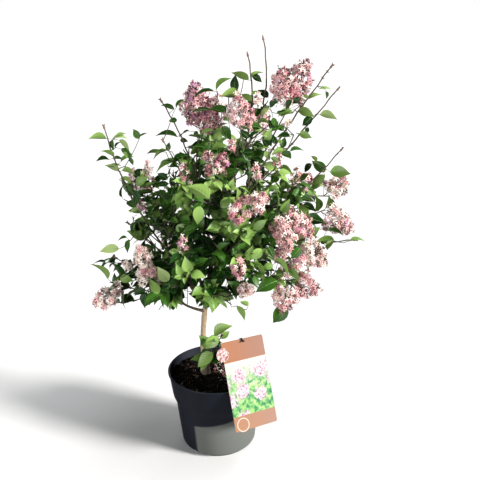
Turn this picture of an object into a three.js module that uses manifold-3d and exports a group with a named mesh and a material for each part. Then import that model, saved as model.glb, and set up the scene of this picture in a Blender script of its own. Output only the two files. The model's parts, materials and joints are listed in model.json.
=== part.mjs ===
// A lilac bush in a round plastic nursery pot, with a picture label clipped to a stake. Millimetres, +Z up.
// The origin is the middle of the pot's flat underside. -Y is the front of the plant.
import * as THREE from "three";
import { mergeVertices } from "three/addons/utils/BufferGeometryUtils.js";
import Module from "manifold-3d";

const wasm = await Module();
wasm.setup();

// ---------------------------------------------------------------- driving dimensions

const CLEARANCE = 0.3; // between neighbouring solids

const POT = { height: 158, rimRadius: 95, baseRadius: 63.5, wall: 1.8, floor: 3, sides: 32 };
const POT_BAND = { bottom: 110, radius: 87, stepHeight: 15, bodyRadius: 81.5, bodyTaper: 9.5 };
const POT_CHAMFER = 8.5; // height of the sloping foot
const DRAIN_HOLE = { radius: 5, ring: 46, count: 6 };

const SOIL = { top: 147, sinkAtWall: 3 };

const LABEL = {
  width: 87, height: 163, thickness: 1, corner: 4, notchWidth: 8, notchDepth: 8,
  centre: [61.2, -72.6, 166.8], turn: 30, leanBack: 23.7, lean: 3,
  badgeRadius: 12.5, badgeDown: 22, ringRadius: 13.5, ringIn: 17, ringUp: 10.5,
};
const STAKE = { width: 7, thickness: 2.4, inSoil: 62, hookDrop: 7, hookReach: 3.8 };

// The trunk's centre line, from the soil through the fork to the top of the leader.
const TRUNK_LINE = [
  [-22, 0, 145], [-24.5, -1, 215], [-19, 0, 285], [-3, 6, 380], [20, 12, 470], [44, 15, 556],
];
const TRUNK_RADIUS = { foot: 6.4, tip: 2.3, flare: 4.2, flareHeight: 11 };
const TRUNK_SIDES = 8;
const TRUNK_RINGS = 15;

// Main boughs: the height at which each leaves the trunk, the point where it enters its foliage, and its radii.
const BOUGHS = [
  { name: "bough_low_left", height: 279, tip: [-60, -20, 305], radii: [2.9, 1.9] },
  { name: "bough_low_front", height: 287, tip: [4, -46, 324], radii: [3.0, 2.0] },
  { name: "bough_left", height: 293, tip: [-68, 4, 376], radii: [3.7, 2.2] },
  { name: "bough_low_right", height: 300, tip: [46, -22, 334], radii: [3.2, 2.0] },
  { name: "bough_left_front", height: 309, tip: [-44, -46, 360], radii: [3.3, 2.1] },
  { name: "bough_back_left", height: 318, tip: [-50, 52, 368], radii: [3.3, 2.1] },
  { name: "bough_right", height: 331, tip: [72, -6, 394], radii: [3.4, 2.1] },
  { name: "bough_back_right", height: 343, tip: [44, 60, 386], radii: [3.2, 2.0] },
  { name: "bough_front", height: 352, tip: [20, -46, 412], radii: [3.2, 2.0] },
  { name: "bough_right_upper", height: 374, tip: [80, 16, 450], radii: [3.1, 2.0] },
  { name: "bough_back", height: 386, tip: [4, 54, 462], radii: [3.0, 1.9] },
  { name: "bough_top_left", height: 398, tip: [-22, -2, 492], radii: [3.0, 2.0] },
  { name: "bough_top_right", height: 432, tip: [70, 2, 528], radii: [2.8, 1.9] },
];

// Masses of foliage. Each grows from `limb` at the share `along` of its length, and its stem ends at `tip`.
// `blooms` are flower heads on the stem's end, each given by its own tip and its radius. `twigs` is how far side
// twigs reach, `bare` and `bareTip` the shares of the stem at its root and its tip that carry nothing.
const MASSES = [
  { name: "foliage_low_left", limb: "bough_low_left", along: 1, tip: [-168, -46, 350], blooms: [[-218, -44, 317, 19]], twigs: 54 },
  { name: "foliage_left_lower", limb: "bough_low_left", along: 0.82, tip: [-178, -8, 392], blooms: [], twigs: 60 },
  { name: "foliage_low_front", limb: "bough_low_front", along: 1, tip: [2, -120, 368], blooms: [], twigs: 60 },
  { name: "foliage_low_middle", limb: "bough_low_front", along: 0.78, tip: [60, -98, 358], blooms: [[54, -124, 376, 12], [86, -110, 344, 11]], twigs: 52 },
  { name: "shoot_far_left", limb: "bough_left", along: 1, tip: [-181, 0, 629], blooms: [], twigs: 62, bare: 0.1, bareTip: 0.03, leafSize: 0.8 },
  { name: "foliage_left", limb: "bough_left", along: 0.9, tip: [-108, -26, 540], blooms: [[-107, -26, 574, 10]], twigs: 66 },
  { name: "foliage_left_side", limb: "bough_left", along: 0.74, tip: [-148, -22, 462], blooms: [], twigs: 60 },
  { name: "foliage_low_right", limb: "bough_low_right", along: 1, tip: [138, -84, 372], blooms: [[112, -116, 322, 22], [182, -84, 350, 20]], twigs: 58 },
  { name: "foliage_left_front", limb: "bough_left_front", along: 1, tip: [-108, -112, 372], blooms: [[-116, -116, 454, 26]], twigs: 60 },
  { name: "foliage_front_left", limb: "bough_left_front", along: 0.78, tip: [-42, -140, 446], blooms: [[-43, -154, 482, 9]], twigs: 66 },
  { name: "foliage_back_left", limb: "bough_back_left", along: 1, tip: [-140, 134, 468], blooms: [[-162, 148, 520, 20]], twigs: 66 },
  { name: "foliage_back_low_left", limb: "bough_back_left", along: 0.75, tip: [-92, 154, 376], blooms: [[-112, 176, 352, 16]], twigs: 66 },
  { name: "foliage_right", limb: "bough_right", along: 1, tip: [202, 0, 474], blooms: [[248, -6, 428, 23]], twigs: 56 },
  { name: "shoot_far_right", limb: "bough_right", along: 0.88, tip: [254, -24, 424], blooms: [], twigs: 46, bare: 0.2, leafSize: 0.95 },
  { name: "foliage_right_low", limb: "bough_right", along: 0.72, tip: [160, -76, 446], blooms: [[192, -98, 404, 21]], twigs: 56 },
  { name: "foliage_back_right", limb: "bough_back_right", along: 1, tip: [158, 130, 458], blooms: [[192, 148, 504, 20]], twigs: 66 },
  { name: "foliage_back_low_right", limb: "bough_back_right", along: 0.75, tip: [82, 170, 394], blooms: [[96, 200, 374, 16]], twigs: 66 },
  { name: "foliage_front", limb: "bough_front", along: 1, tip: [66, -126, 518], blooms: [[34, -148, 512, 18], [88, -142, 544, 17]], twigs: 56 },
  { name: "foliage_front_right", limb: "bough_front", along: 0.84, tip: [118, -106, 500], blooms: [[128, -138, 446, 22], [168, -116, 468, 21]], twigs: 56 },
  { name: "foliage_front_low", limb: "bough_front", along: 0.66, tip: [44, -140, 434], blooms: [[48, -158, 408, 12]], twigs: 58 },
  { name: "foliage_right_upper", limb: "bough_right_upper", along: 1, tip: [214, 52, 484], blooms: [[250, 54, 516, 21]], twigs: 52 },
  { name: "shoot_right", limb: "bough_right_upper", along: 0.556, tip: [232, 24, 578], blooms: [], twigs: 56, bare: 0.15, bareTip: 0.1, leafSize: 0.85 },
  { name: "foliage_right_inner", limb: "bough_right_upper", along: 0.7, tip: [150, -10, 522], blooms: [[152, -8, 566, 10]], twigs: 60 },
  { name: "foliage_back_upper", limb: "bough_back", along: 1, tip: [-18, 134, 612], blooms: [[-28, 148, 668, 20]], twigs: 66 },
  { name: "foliage_back_middle", limb: "bough_back", along: 0.82, tip: [86, 136, 586], blooms: [[102, 148, 636, 20]], twigs: 66 },
  { name: "foliage_back", limb: "bough_back", along: 0.66, tip: [-4, 180, 490], blooms: [[-4, 214, 520, 17]], twigs: 66 },
  { name: "foliage_top_left", limb: "bough_top_left", along: 1, tip: [-14, -8, 624], blooms: [[-26, -10, 706, 23], [14, -14, 672, 20]], twigs: 58 },
  { name: "shoot_top_left", limb: "bough_top_left", along: 0.88, tip: [-84, 28, 668], blooms: [], twigs: 54, bare: 0.1, leafSize: 0.85 },
  { name: "foliage_upper_left", limb: "bough_top_left", along: 0.72, tip: [-76, -44, 612], blooms: [], twigs: 60 },
  { name: "foliage_upper_front", limb: "bough_top_left", along: 0.55, tip: [-36, -90, 548], blooms: [[-41, -94, 584, 9]], twigs: 62 },
  { name: "shoot_top", limb: "trunk", along: 1, tip: [94, 30, 769], blooms: [], twigs: 52, bare: 0.15, bareTip: 0.32, leafSize: 0.75 },
  { name: "shoot_top_inner", limb: "trunk", along: 0.95, tip: [67, 0, 745], blooms: [], twigs: 50, bare: 0.15, bareTip: 0.24, leafSize: 0.75 },
  { name: "foliage_top_middle", limb: "trunk", along: 0.89, tip: [56, -60, 631], blooms: [[50, -62, 690, 17], [86, -48, 660, 14]], twigs: 56 },
  { name: "foliage_upper_middle", limb: "trunk", along: 0.82, tip: [16, -98, 566], blooms: [[8, -112, 606, 15], [62, -84, 590, 11]], twigs: 58 },
  { name: "foliage_inner_left", limb: "trunk", along: 0.46, tip: [-84, 24, 452], blooms: [], twigs: 62 },
  { name: "foliage_inner_front", limb: "trunk", along: 0.41, tip: [-24, -84, 384], blooms: [], twigs: 62 },
  { name: "foliage_inner_right", limb: "trunk", along: 0.5, tip: [92, 30, 400], blooms: [], twigs: 62 },
  { name: "foliage_top_right", limb: "bough_top_right", along: 1, tip: [138, 0, 660], blooms: [[122, -18, 724, 24], [170, 18, 742, 24]], twigs: 54 },
  { name: "shoot_top_right", limb: "bough_top_right", along: 0.78, tip: [204, -24, 726], blooms: [], twigs: 50, bare: 0.2, bareTip: 0.14, leafSize: 0.72 },
  { name: "shoot_upper_right", limb: "bough_top_right", along: 0.62, tip: [222, 20, 684], blooms: [], twigs: 50, bare: 0.15, bareTip: 0.08, leafSize: 0.76 },
  { name: "foliage_upper_right", limb: "bough_top_right", along: 0.45, tip: [112, -56, 566], blooms: [[118, -62, 602, 11]], twigs: 58 },
  { name: "basal_shoot", limb: "trunk", along: 0.04, tip: [12, -26, 240], blooms: [], twigs: 30, bare: 0.12, leafSize: 0.8 },
];

// The growth rule's own sizes.
const STEM_RADII = [1.8, 0.9];
const STEM_SIDES = 3;
const STEM_RINGS = 3; // straight pieces of a stem
const TWIG_RADII = [1.3, 0.7];
const TWIG_ANGLE = 52; // degrees between a side twig and its stem
const TWIG_TRIES = [1, 0.75, 0.5]; // shares of its length at which a twig is tried
const INTERNODE = 38; // between two nodes of a stem
const TWIG_INTERNODE = 27; // between two pairs of leaves on a side twig
const SIDE_TWIGS_UP_TO = 0.55; // of the stem
const LEAF = { length: 55, width: 0.64, widest: 0.4, droop: 1.8 };
const LEAF_ANGLE = 62; // degrees between a leaf and its twig
const LEAF_FACING = 0.9; // how far the blades turn from facing up to facing out of the crown
const LEAF_TRIES = [[1, 0], [1, 34], [1, -34], [0.85, 60], [0.85, -60], [0.7, 20], [0.7, 85], [0.7, -85]]; // share, turn
const LEAF_SPACING = 0.44; // between the middles of two leaves of one mass, of a leaf's length
const SPACE_GAP = 1.6; // between the spaces of two masses
const LIMB_GAP = 2.2; // between foliage and a limb
const HEAD_GAP = 1.5; // between a flower head and leaves
const WOOD_GAP = 2.4; // between a leaf's blade and the twigs of its own mass
const BLOOM = { from: 0.95, sides: 6, lumps: 0.28 }; // `from` is the share of the stem
// A flower head's outline: share of its length, share of its radius.
const BLOOM_PROFILE = [[0, 0], [0.2, 0.9], [0.68, 0.82], [1, 0]];

// ---------------------------------------------------------------- small tools

const at = (p) => new THREE.Vector3(...p);
const radians = THREE.MathUtils.degToRad;

/** Even numbers from 0 to 1, always the same for one seed. */
function seeded(seed) {
  let state = seed >>> 0;
  return () => {
    state = (state + 0x6d2b79f5) >>> 0;
    let t = state;
    t = Math.imul(t ^ (t >>> 15), t | 1);
    t ^= t + Math.imul(t ^ (t >>> 7), t | 61);
    return ((t ^ (t >>> 14)) >>> 0) / 4294967296;
  };
}

/** A closed geometry as a solid. */
function solidOf(geometry) {
  geometry.deleteAttribute("normal");
  geometry.deleteAttribute("uv");
  const merged = mergeVertices(geometry, 1e-4);
  return new wasm.Manifold(new wasm.Mesh({
    numProp: 3,
    vertProperties: new Float32Array(merged.attributes.position.array),
    triVerts: new Uint32Array(merged.index.array),
  }));
}

/** A solid's largest piece as a geometry. */
function geometryOf(solid) {
  const largest = solid.decompose().sort((a, b) => b.volume() - a.volume())[0];
  const mesh = largest.getMesh();
  const geometry = new THREE.BufferGeometry();
  geometry.setAttribute("position", new THREE.BufferAttribute(mesh.vertProperties, 3));
  geometry.setIndex(new THREE.BufferAttribute(mesh.triVerts, 1));
  return geometry;
}

const joined = (solids) => solids.reduce((whole, solid) => whole.add(solid));

/** Two unit vectors square to `axis` and to each other. */
function squareTo(axis) {
  const reference = Math.abs(axis.z) < 0.9 ? new THREE.Vector3(0, 0, 1) : new THREE.Vector3(1, 0, 0);
  const side = reference.clone().addScaledVector(axis, -axis.dot(reference)).normalize();
  return [side, axis.clone().cross(side)];
}

/** A round tapering tube along `curve`, with flat ends moved out by `grow`, and its radius grown by as much. */
function tube(curve, radiusAt, sides, rings, grow = 0) {
  const geometry = new THREE.CylinderGeometry(1, 1, 1, sides, rings);
  const corners = geometry.attributes.position;
  const directions = Array.from({ length: rings + 1 }, (_, i) => curve.getTangent(i / rings));
  const firsts = [squareTo(directions[0])[0]];
  for (const direction of directions.slice(1)) {
    const last = firsts[firsts.length - 1];
    firsts.push(last.clone().addScaledVector(direction, -last.dot(direction)).normalize());
  }
  for (let i = 0; i < corners.count; i++) {
    const ring = Math.round((corners.getY(i) + 0.5) * rings);
    const [direction, first] = [directions[ring], firsts[ring]];
    const second = direction.clone().cross(first);
    const radius = radiusAt(ring / rings) + grow;
    const end = ring === 0 ? -grow : ring === rings ? grow : 0;
    const place = curve.getPoint(ring / rings).addScaledVector(direction, end)
      .addScaledVector(first, corners.getX(i) * radius).addScaledVector(second, -corners.getZ(i) * radius);
    corners.setXYZ(i, place.x, place.y, place.z);
  }
  return solidOf(geometry);
}

// ---------------------------------------------------------------- trunk and boughs

const trunkCurve = new THREE.CatmullRomCurve3(TRUNK_LINE.map(at), false, "catmullrom", 0.5);

function trunkRadius(t) {
  const height = trunkCurve.getPoint(t).z - SOIL.top;
  const flare = TRUNK_RADIUS.flare * Math.exp(-Math.max(height, 0) / TRUNK_RADIUS.flareHeight);
  const swelling = 0.35 * Math.sin(height / 8.5) * Math.exp(-height / 260);
  return THREE.MathUtils.lerp(TRUNK_RADIUS.foot, TRUNK_RADIUS.tip, t) + flare + swelling;
}

/** The trunk curve's parameter at a height, found by halving. */
function trunkAt(height) {
  let [low, high] = [0, 1];
  for (let i = 0; i < 30; i++) {
    const middle = (low + high) / 2;
    if (trunkCurve.getPoint(middle).z < height) low = middle;
    else high = middle;
  }
  return low;
}

/** A bough leaves the trunk rather flat and turns upwards on its way to its tip. */
function boughCurve({ height, tip }) {
  const start = trunkCurve.getPoint(trunkAt(height));
  const end = at(tip);
  const bend = new THREE.Vector3().lerpVectors(start, end, 0.55);
  bend.z = THREE.MathUtils.lerp(start.z, end.z, 0.36);
  return new THREE.QuadraticBezierCurve3(start, bend, end);
}

const limbs = new Map();
limbs.set("trunk", { curve: trunkCurve, radiusAt: trunkRadius, sides: TRUNK_SIDES, rings: TRUNK_RINGS });
for (const bough of BOUGHS) {
  const [thick, thin] = bough.radii;
  const radiusAt = (t) => THREE.MathUtils.lerp(thick, thin, t);
  limbs.set(bough.name, { curve: boughCurve(bough), radiusAt, sides: 6, rings: 4 });
}

const limbSolid = ({ curve, radiusAt, sides, rings }, grow) => tube(curve, radiusAt, sides, rings, grow);

/** The trunk is cut flat just above the compost. */
function trunkSolid() {
  const below = new THREE.BoxGeometry(60, 60, 40).translate(...TRUNK_LINE[0].slice(0, 2), SOIL.top + CLEARANCE - 20);
  return limbSolid(limbs.get("trunk")).subtract(solidOf(below));
}

/** A bough is cut to the trunk's surface. */
function boughSolid(name) {
  return limbSolid(limbs.get(name)).subtract(limbSolid(limbs.get("trunk"), CLEARANCE));
}

// ---------------------------------------------------------------- the growth rule

/** A mass's stem goes on from its limb's tip, or leaves the limb's side, and ends at the mass's own tip. */
function stemCurve({ limb, along, tip }) {
  const { curve } = limbs.get(limb);
  const start = curve.getPoint(along);
  const end = at(tip);
  const length = start.distanceTo(end);
  const onward = along === 1 ? curve.getTangent(1) : end.clone().sub(start).normalize();
  const bend = start.clone().addScaledVector(onward, 0.45 * length);
  bend.z += along === 1 ? 0 : 0.06 * length;
  return new THREE.QuadraticBezierCurve3(start, bend, end);
}

/** A stem is a chain of straight pieces between points of its curve. */
class Stem extends THREE.CurvePath {
  constructor(curve) {
    super();
    for (let i = 0; i < STEM_RINGS; i++) {
      this.add(new THREE.LineCurve3(curve.getPoint(i / STEM_RINGS), curve.getPoint((i + 1) / STEM_RINGS)));
    }
  }

  /** The piece that holds the share `t` of the stem, and the share of that piece. */
  pieceAt(t) {
    const index = Math.min(Math.floor(t * STEM_RINGS), STEM_RINGS - 1);
    return [this.curves[index], t * STEM_RINGS - index];
  }

  getPoint(t) {
    const [piece, share] = this.pieceAt(t);
    return piece.getPoint(share);
  }

  getTangent(t) {
    return this.pieceAt(t)[0].getTangent(0);
  }
}

const stems = new Map(MASSES.map((mass) => [mass.name, new Stem(stemCurve(mass))]));

/** Points along a curve, with the radius at each. */
function line(curve, steps, radiusAt = () => 0) {
  return Array.from({ length: steps + 1 }, (_, i) => ({
    point: curve.getPoint(i / steps),
    radius: radiusAt(i / steps),
  }));
}

/** A flower head grows from just under the stem's end to its own tip. */
function headsOf({ name, blooms }) {
  const base = stems.get(name).getPoint(BLOOM.from);
  return blooms.map(([x, y, z, radius]) => ({ base, tip: new THREE.Vector3(x, y, z), radius }));
}

function headLine({ base, tip, radius }) {
  return BLOOM_PROFILE.map(([along, share]) => ({
    point: base.clone().lerp(tip, along),
    radius: share * radius + HEAD_GAP,
  }));
}

const limbLines = [...limbs.values()].map(({ curve, radiusAt }) => line(curve, 10, radiusAt));
const headLines = new Map(MASSES.map((mass) => [mass.name, headsOf(mass).map(headLine)]));
const stemLines = new Map([...stems].map(([name, stem]) => [name, line(stem, STEM_RINGS)]));

/** How far `place` is from the surface of a line of tapering pieces. */
function distanceTo(pieces, place) {
  let least = Infinity;
  for (let i = 1; i < pieces.length; i++) {
    const [from, to] = [pieces[i - 1], pieces[i]];
    const run = to.point.clone().sub(from.point);
    const share = THREE.MathUtils.clamp(place.clone().sub(from.point).dot(run) / run.lengthSq(), 0, 1);
    const radius = from.radius + (to.radius - from.radius) * share;
    least = Math.min(least, from.point.clone().addScaledVector(run, share).distanceTo(place) - radius);
  }
  return least;
}

const distanceToMass = (name, place) => Math.min(
  distanceTo(stemLines.get(name), place),
  ...headLines.get(name).map((pieces) => distanceTo(pieces, place)),
);

/** True where every place is nearer to the mass itself than to any other, and clear of limbs, pot and label. */
function fits(name, places) {
  return places.every((place) => {
    const own = distanceToMass(name, place);
    for (const other of stems.keys()) {
      if (other !== name && distanceToMass(other, place) < own + SPACE_GAP) return false;
    }
    return limbLines.every((pieces) => distanceTo(pieces, place) > LIMB_GAP);
  });
}

/** One leaf at `base` on a twig with direction `axis`, growing towards `out`; `random` tilts it. */
function placeLeaf(base, axis, out, length, random) {
  const angle = radians(LEAF_ANGLE + 26 * (random() - 0.5));
  const lift = 0.5 * (random() - 0.72);
  const [swayX, swayY] = [0.7 * (random() - 0.5), 0.7 * (random() - 0.5)];
  const direction = axis.clone().multiplyScalar(Math.cos(angle)).addScaledVector(out, Math.sin(angle));
  direction.z += lift;
  direction.normalize();
  const outward = base.clone().setZ(0).normalize().multiplyScalar(LEAF_FACING);
  const side = direction.clone().cross(new THREE.Vector3(outward.x + swayX, outward.y + swayY, 1));
  if (side.length() < 0.25) side.copy(direction).cross(out).addScaledVector(axis, 0.3);
  side.normalize();
  return { base, direction, side, face: side.clone().cross(direction), length };
}

/** Places that show where a leaf lies: its tip, its widest points and points between. */
function leafPlaces({ base, direction, side, length }) {
  const half = (LEAF.width * length) / 2;
  const on = (along, across) => base.clone().addScaledVector(direction, along * length)
    .addScaledVector(side, across * half);
  const { widest } = LEAF;
  return [
    on(1, 0), on(0.85, 0), on(0.7, 0.5), on(0.7, -0.5), on(widest, 1), on(widest, -1), on(widest, 0), on(0.25, 0.5),
    on(0.25, -0.5),
  ];
}

/** The twigs, leaves and flower heads of one mass. */
function grow(mass, seed) {
  const random = seeded(seed);
  const { name, bare = 0.1, bareTip = 0, leafSize = 1 } = mass;
  const stem = stems.get(name);
  const twigs = [];
  const leaves = [];
  const ownHeads = headLines.get(name);
  const inHead = (place) => ownHeads.some((pieces) => distanceTo(pieces, place) < 0);
  const ownWood = [stemLines.get(name)]; // and the twigs, as they grow
  const acrossWood = (place) => ownWood.some((pieces) => distanceTo(pieces, place) < WOOD_GAP);

  /** A leaf that doesn't fit is tried turned about its twig, and smaller. */
  function addLeaf(base, axis, out, size) {
    const tilt = random();
    for (const [share, turn] of LEAF_TRIES) {
      const turned = out.clone().applyAxisAngle(axis, radians(turn));
      const leaf = placeLeaf(base, axis, turned, size * share, seeded(1e6 * tilt));
      const middle = leaf.base.clone().addScaledVector(leaf.direction, leaf.length / 2);
      const crowded = leaves.some((other) => other.middle.distanceTo(middle) < LEAF_SPACING * leaf.length);
      const places = leafPlaces(leaf);
      if (!crowded && !places.some(inHead) && !places.some(acrossWood) && fits(name, places)) {
        leaves.push({ ...leaf, middle });
        return;
      }
    }
  }

  /** A side twig with pairs of leaves, each pair at right angles to the last, and one leaf at its end. */
  function addTwig(base, axis, out, reach) {
    const angle = radians(TWIG_ANGLE + 16 * (random() - 0.5));
    const direction = axis.clone().multiplyScalar(Math.cos(angle)).addScaledVector(out, Math.sin(angle));
    direction.z += 0.12;
    direction.normalize();
    const whole = reach * (0.75 + 0.4 * random());
    const share = TWIG_TRIES.find((part) => {
      const places = [0.25, 0.5, 0.75, 1].map((along) => base.clone().addScaledVector(direction, along * part * whole));
      return !places.some(inHead) && fits(name, places);
    });
    if (!share) return false;
    const length = share * whole;
    twigs.push({ base, direction, length });
    ownWood.push([0, length].map((along) => ({ point: base.clone().addScaledVector(direction, along), radius: 0 })));
    const pairs = Math.max(1, Math.round(length / TWIG_INTERNODE));
    const [flat, steep] = squareTo(direction);
    for (let pair = 1; pair <= pairs; pair++) {
      const place = base.clone().addScaledVector(direction, (length * pair) / (pairs + 0.25));
      const across = pair % 2 ? steep : flat;
      const size = LEAF.length * leafSize * (0.86 + 0.28 * random()) * (pair === pairs ? 0.88 : 1);
      addLeaf(place, direction, across.clone(), size);
      addLeaf(place, direction, across.clone().negate(), size);
    }
    addLeaf(base.clone().addScaledVector(direction, 0.93 * length), direction, steep, 0.75 * leafSize * LEAF.length);
    return true;
  }

  const leafy = 1 - bare - bareTip;
  const nodes = Math.max(2, Math.round((stem.getLength() * leafy) / (INTERNODE * leafSize)));
  const phase = Math.PI * random();
  for (let node = 0; node < nodes; node++) {
    const t = bare + (leafy * (node + 0.5)) / nodes;
    const base = stem.getPoint(t);
    const axis = stem.getTangent(t);
    const [first, second] = squareTo(axis);
    const turn = phase + (node * Math.PI) / 2 + 0.5 * (random() - 0.5);
    const out = first.multiplyScalar(Math.cos(turn)).addScaledVector(second, Math.sin(turn));
    for (const way of [1, -1]) {
      const outward = out.clone().multiplyScalar(way);
      const reach = mass.twigs * (1.1 - 0.6 * t);
      const size = LEAF.length * leafSize * (0.85 + 0.3 * random()) * (1.12 - 0.42 * t);
      if (t > SIDE_TWIGS_UP_TO || !addTwig(base, axis, outward, reach)) addLeaf(base, axis, outward, size);
    }
  }
  return { twigs, leaves };
}

// ---------------------------------------------------------------- foliage as solids

/** A leaf has four corners: heel and tip on its midrib, and its two widest points lower, as its edges droop. */
function leafSolid({ base, direction, side, face, length }) {
  const geometry = new THREE.TetrahedronGeometry(Math.sqrt(3));
  const corners = geometry.attributes.position;
  const half = (LEAF.width * length) / 2;
  for (let i = 0; i < corners.count; i++) {
    const [x, y, z] = [corners.getX(i), corners.getY(i), corners.getZ(i)];
    const onMidrib = z > 0;
    const across = onMidrib ? 0 : Math.sign(x) * half;
    const along = onMidrib ? (x > 0 ? length : 0) : LEAF.widest * length;
    const place = base.clone().addScaledVector(side, across).addScaledVector(direction, along)
      .addScaledVector(face, onMidrib ? 0 : -LEAF.droop);
    corners.setXYZ(i, place.x, place.y, place.z);
  }
  return solidOf(geometry);
}

/** Turns a geometry's +Y to `direction` and moves its origin to `base`. */
function aim(geometry, base, direction) {
  const turn = new THREE.Quaternion().setFromUnitVectors(new THREE.Vector3(0, 1, 0), direction);
  return geometry.applyQuaternion(turn).translate(base.x, base.y, base.z);
}

/** A three-sided twig, pointed at both ends. */
function twigSolid({ base, direction, length }) {
  const profile = [[0, 0], [TWIG_RADII[0], 2.5], [TWIG_RADII[1], 0.97 * length], [0, length]];
  const rod = new THREE.LatheGeometry(profile.map(([radius, y]) => new THREE.Vector2(radius, y)), 3);
  return solidOf(aim(rod, base, direction));
}

/** A flower head as a lumpy cone, narrow at its foot. */
function headSolid({ base, tip, radius }, random) {
  const reach = tip.clone().sub(base);
  const profile = BLOOM_PROFILE.map(([along, share]) => new THREE.Vector2(share * radius, along * reach.length()));
  const lathe = new THREE.LatheGeometry(profile, BLOOM.sides);
  const corners = lathe.attributes.position;
  const swell = Array.from({ length: BLOOM.sides * profile.length }, () => 1 - BLOOM.lumps * random());
  for (let i = 0; i < corners.count; i++) {
    const side = Math.floor(i / profile.length) % BLOOM.sides;
    const factor = swell[side * profile.length + (i % profile.length)];
    corners.setX(i, corners.getX(i) * factor);
    corners.setZ(i, corners.getZ(i) * factor);
  }
  return solidOf(aim(lathe, base, reach.normalize()));
}

/** One mass: stem, twigs, leaves and flower heads fused, and cut to the limbs that it meets. */
function massSolid(mass, seed, limbCutter) {
  const { twigs, leaves } = grow(mass, seed);
  const radiusAt = (t) => THREE.MathUtils.lerp(...STEM_RADII, t);
  const random = seeded(seed + 1000);
  const pieces = [
    tube(stems.get(mass.name), radiusAt, STEM_SIDES, STEM_RINGS),
    ...twigs.map(twigSolid),
    ...leaves.map(leafSolid),
    ...headsOf(mass).map((head) => headSolid(head, random)),
  ];
  return joined(pieces).subtract(limbCutter);
}

// ---------------------------------------------------------------- pot and soil

/** The pot's outer radius at a height. */
function potRadius(height) {
  const bandTop = POT_BAND.bottom;
  const stepFoot = bandTop - POT_BAND.stepHeight;
  if (height < POT_CHAMFER) {
    return THREE.MathUtils.mapLinear(height, 0, POT_CHAMFER, POT.baseRadius, POT_BAND.bodyRadius - POT_BAND.bodyTaper);
  }
  if (height < stepFoot) {
    const foot = POT_BAND.bodyRadius - POT_BAND.bodyTaper;
    return THREE.MathUtils.mapLinear(height, POT_CHAMFER, stepFoot, foot, POT_BAND.bodyRadius);
  }
  if (height < bandTop) {
    return THREE.MathUtils.mapLinear(height, stepFoot, bandTop, POT_BAND.bodyRadius, POT_BAND.radius);
  }
  return THREE.MathUtils.mapLinear(height, bandTop, POT.height, POT_BAND.radius, POT.rimRadius);
}

const LIP = { height: 4, depth: 1.2 }; // the thicker edge round the top

function potSolid() {
  const heights = [POT_CHAMFER, POT_BAND.bottom - POT_BAND.stepHeight, POT_BAND.bottom, POT.height - LIP.height];
  const outside = heights.map((z) => [potRadius(z) - (z > POT_BAND.bottom ? LIP.depth : 0), z]);
  const inside = heights.slice(0, 3).map((z) => [potRadius(z) - POT.wall, z]);
  const profile = [
    [0, 0], [POT.baseRadius, 0], ...outside,
    [POT.rimRadius, POT.height - LIP.height], [POT.rimRadius, POT.height],
    [POT.rimRadius - LIP.depth - POT.wall, POT.height], ...inside.reverse(),
    [POT.baseRadius - POT.wall, POT.floor], [0, POT.floor],
  ].map(([radius, z]) => new THREE.Vector2(radius, z));
  const pot = solidOf(new THREE.LatheGeometry(profile, POT.sides).rotateX(Math.PI / 2));
  const holes = Array.from({ length: DRAIN_HOLE.count }, (_, i) => {
    const angle = (2 * Math.PI * (i + 0.5)) / DRAIN_HOLE.count;
    const drill = new THREE.CylinderGeometry(DRAIN_HOLE.radius, DRAIN_HOLE.radius, 4 * POT.floor, 10)
      .rotateX(Math.PI / 2)
      .translate(DRAIN_HOLE.ring * Math.cos(angle), DRAIN_HOLE.ring * Math.sin(angle), 0);
    return solidOf(drill);
  });
  return pot.subtract(joined(holes));
}

/** The compost fills the pot to just under its rim and sinks a little towards the wall. */
function soilSolid(stakeCutter) {
  const gap = POT.wall + CLEARANCE;
  const heights = [POT_CHAMFER, POT_BAND.bottom - POT_BAND.stepHeight, POT_BAND.bottom];
  const wallTop = SOIL.top - SOIL.sinkAtWall;
  const profile = [
    [0, POT.floor + CLEARANCE], [POT.baseRadius - gap - 1, POT.floor + CLEARANCE],
    ...heights.map((z) => [potRadius(z) - gap, z + CLEARANCE]),
    [potRadius(wallTop) - gap - LIP.depth, wallTop], [potRadius(wallTop) - 16, SOIL.top], [0, SOIL.top],
  ].map(([radius, z]) => new THREE.Vector2(radius, z));
  const soil = solidOf(new THREE.LatheGeometry(profile, POT.sides).rotateX(Math.PI / 2));
  return soil.subtract(stakeCutter);
}

// ---------------------------------------------------------------- label and stake

/** The label's own frame: X across, Y up its face, Z out of its printed side. */
function labelFrame() {
  const turn = new THREE.Matrix4().makeRotationZ(radians(LABEL.turn));
  turn.multiply(new THREE.Matrix4().makeRotationX(radians(90 - LABEL.leanBack)));
  turn.multiply(new THREE.Matrix4().makeRotationZ(radians(-LABEL.lean)));
  return turn.setPosition(at(LABEL.centre));
}

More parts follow.
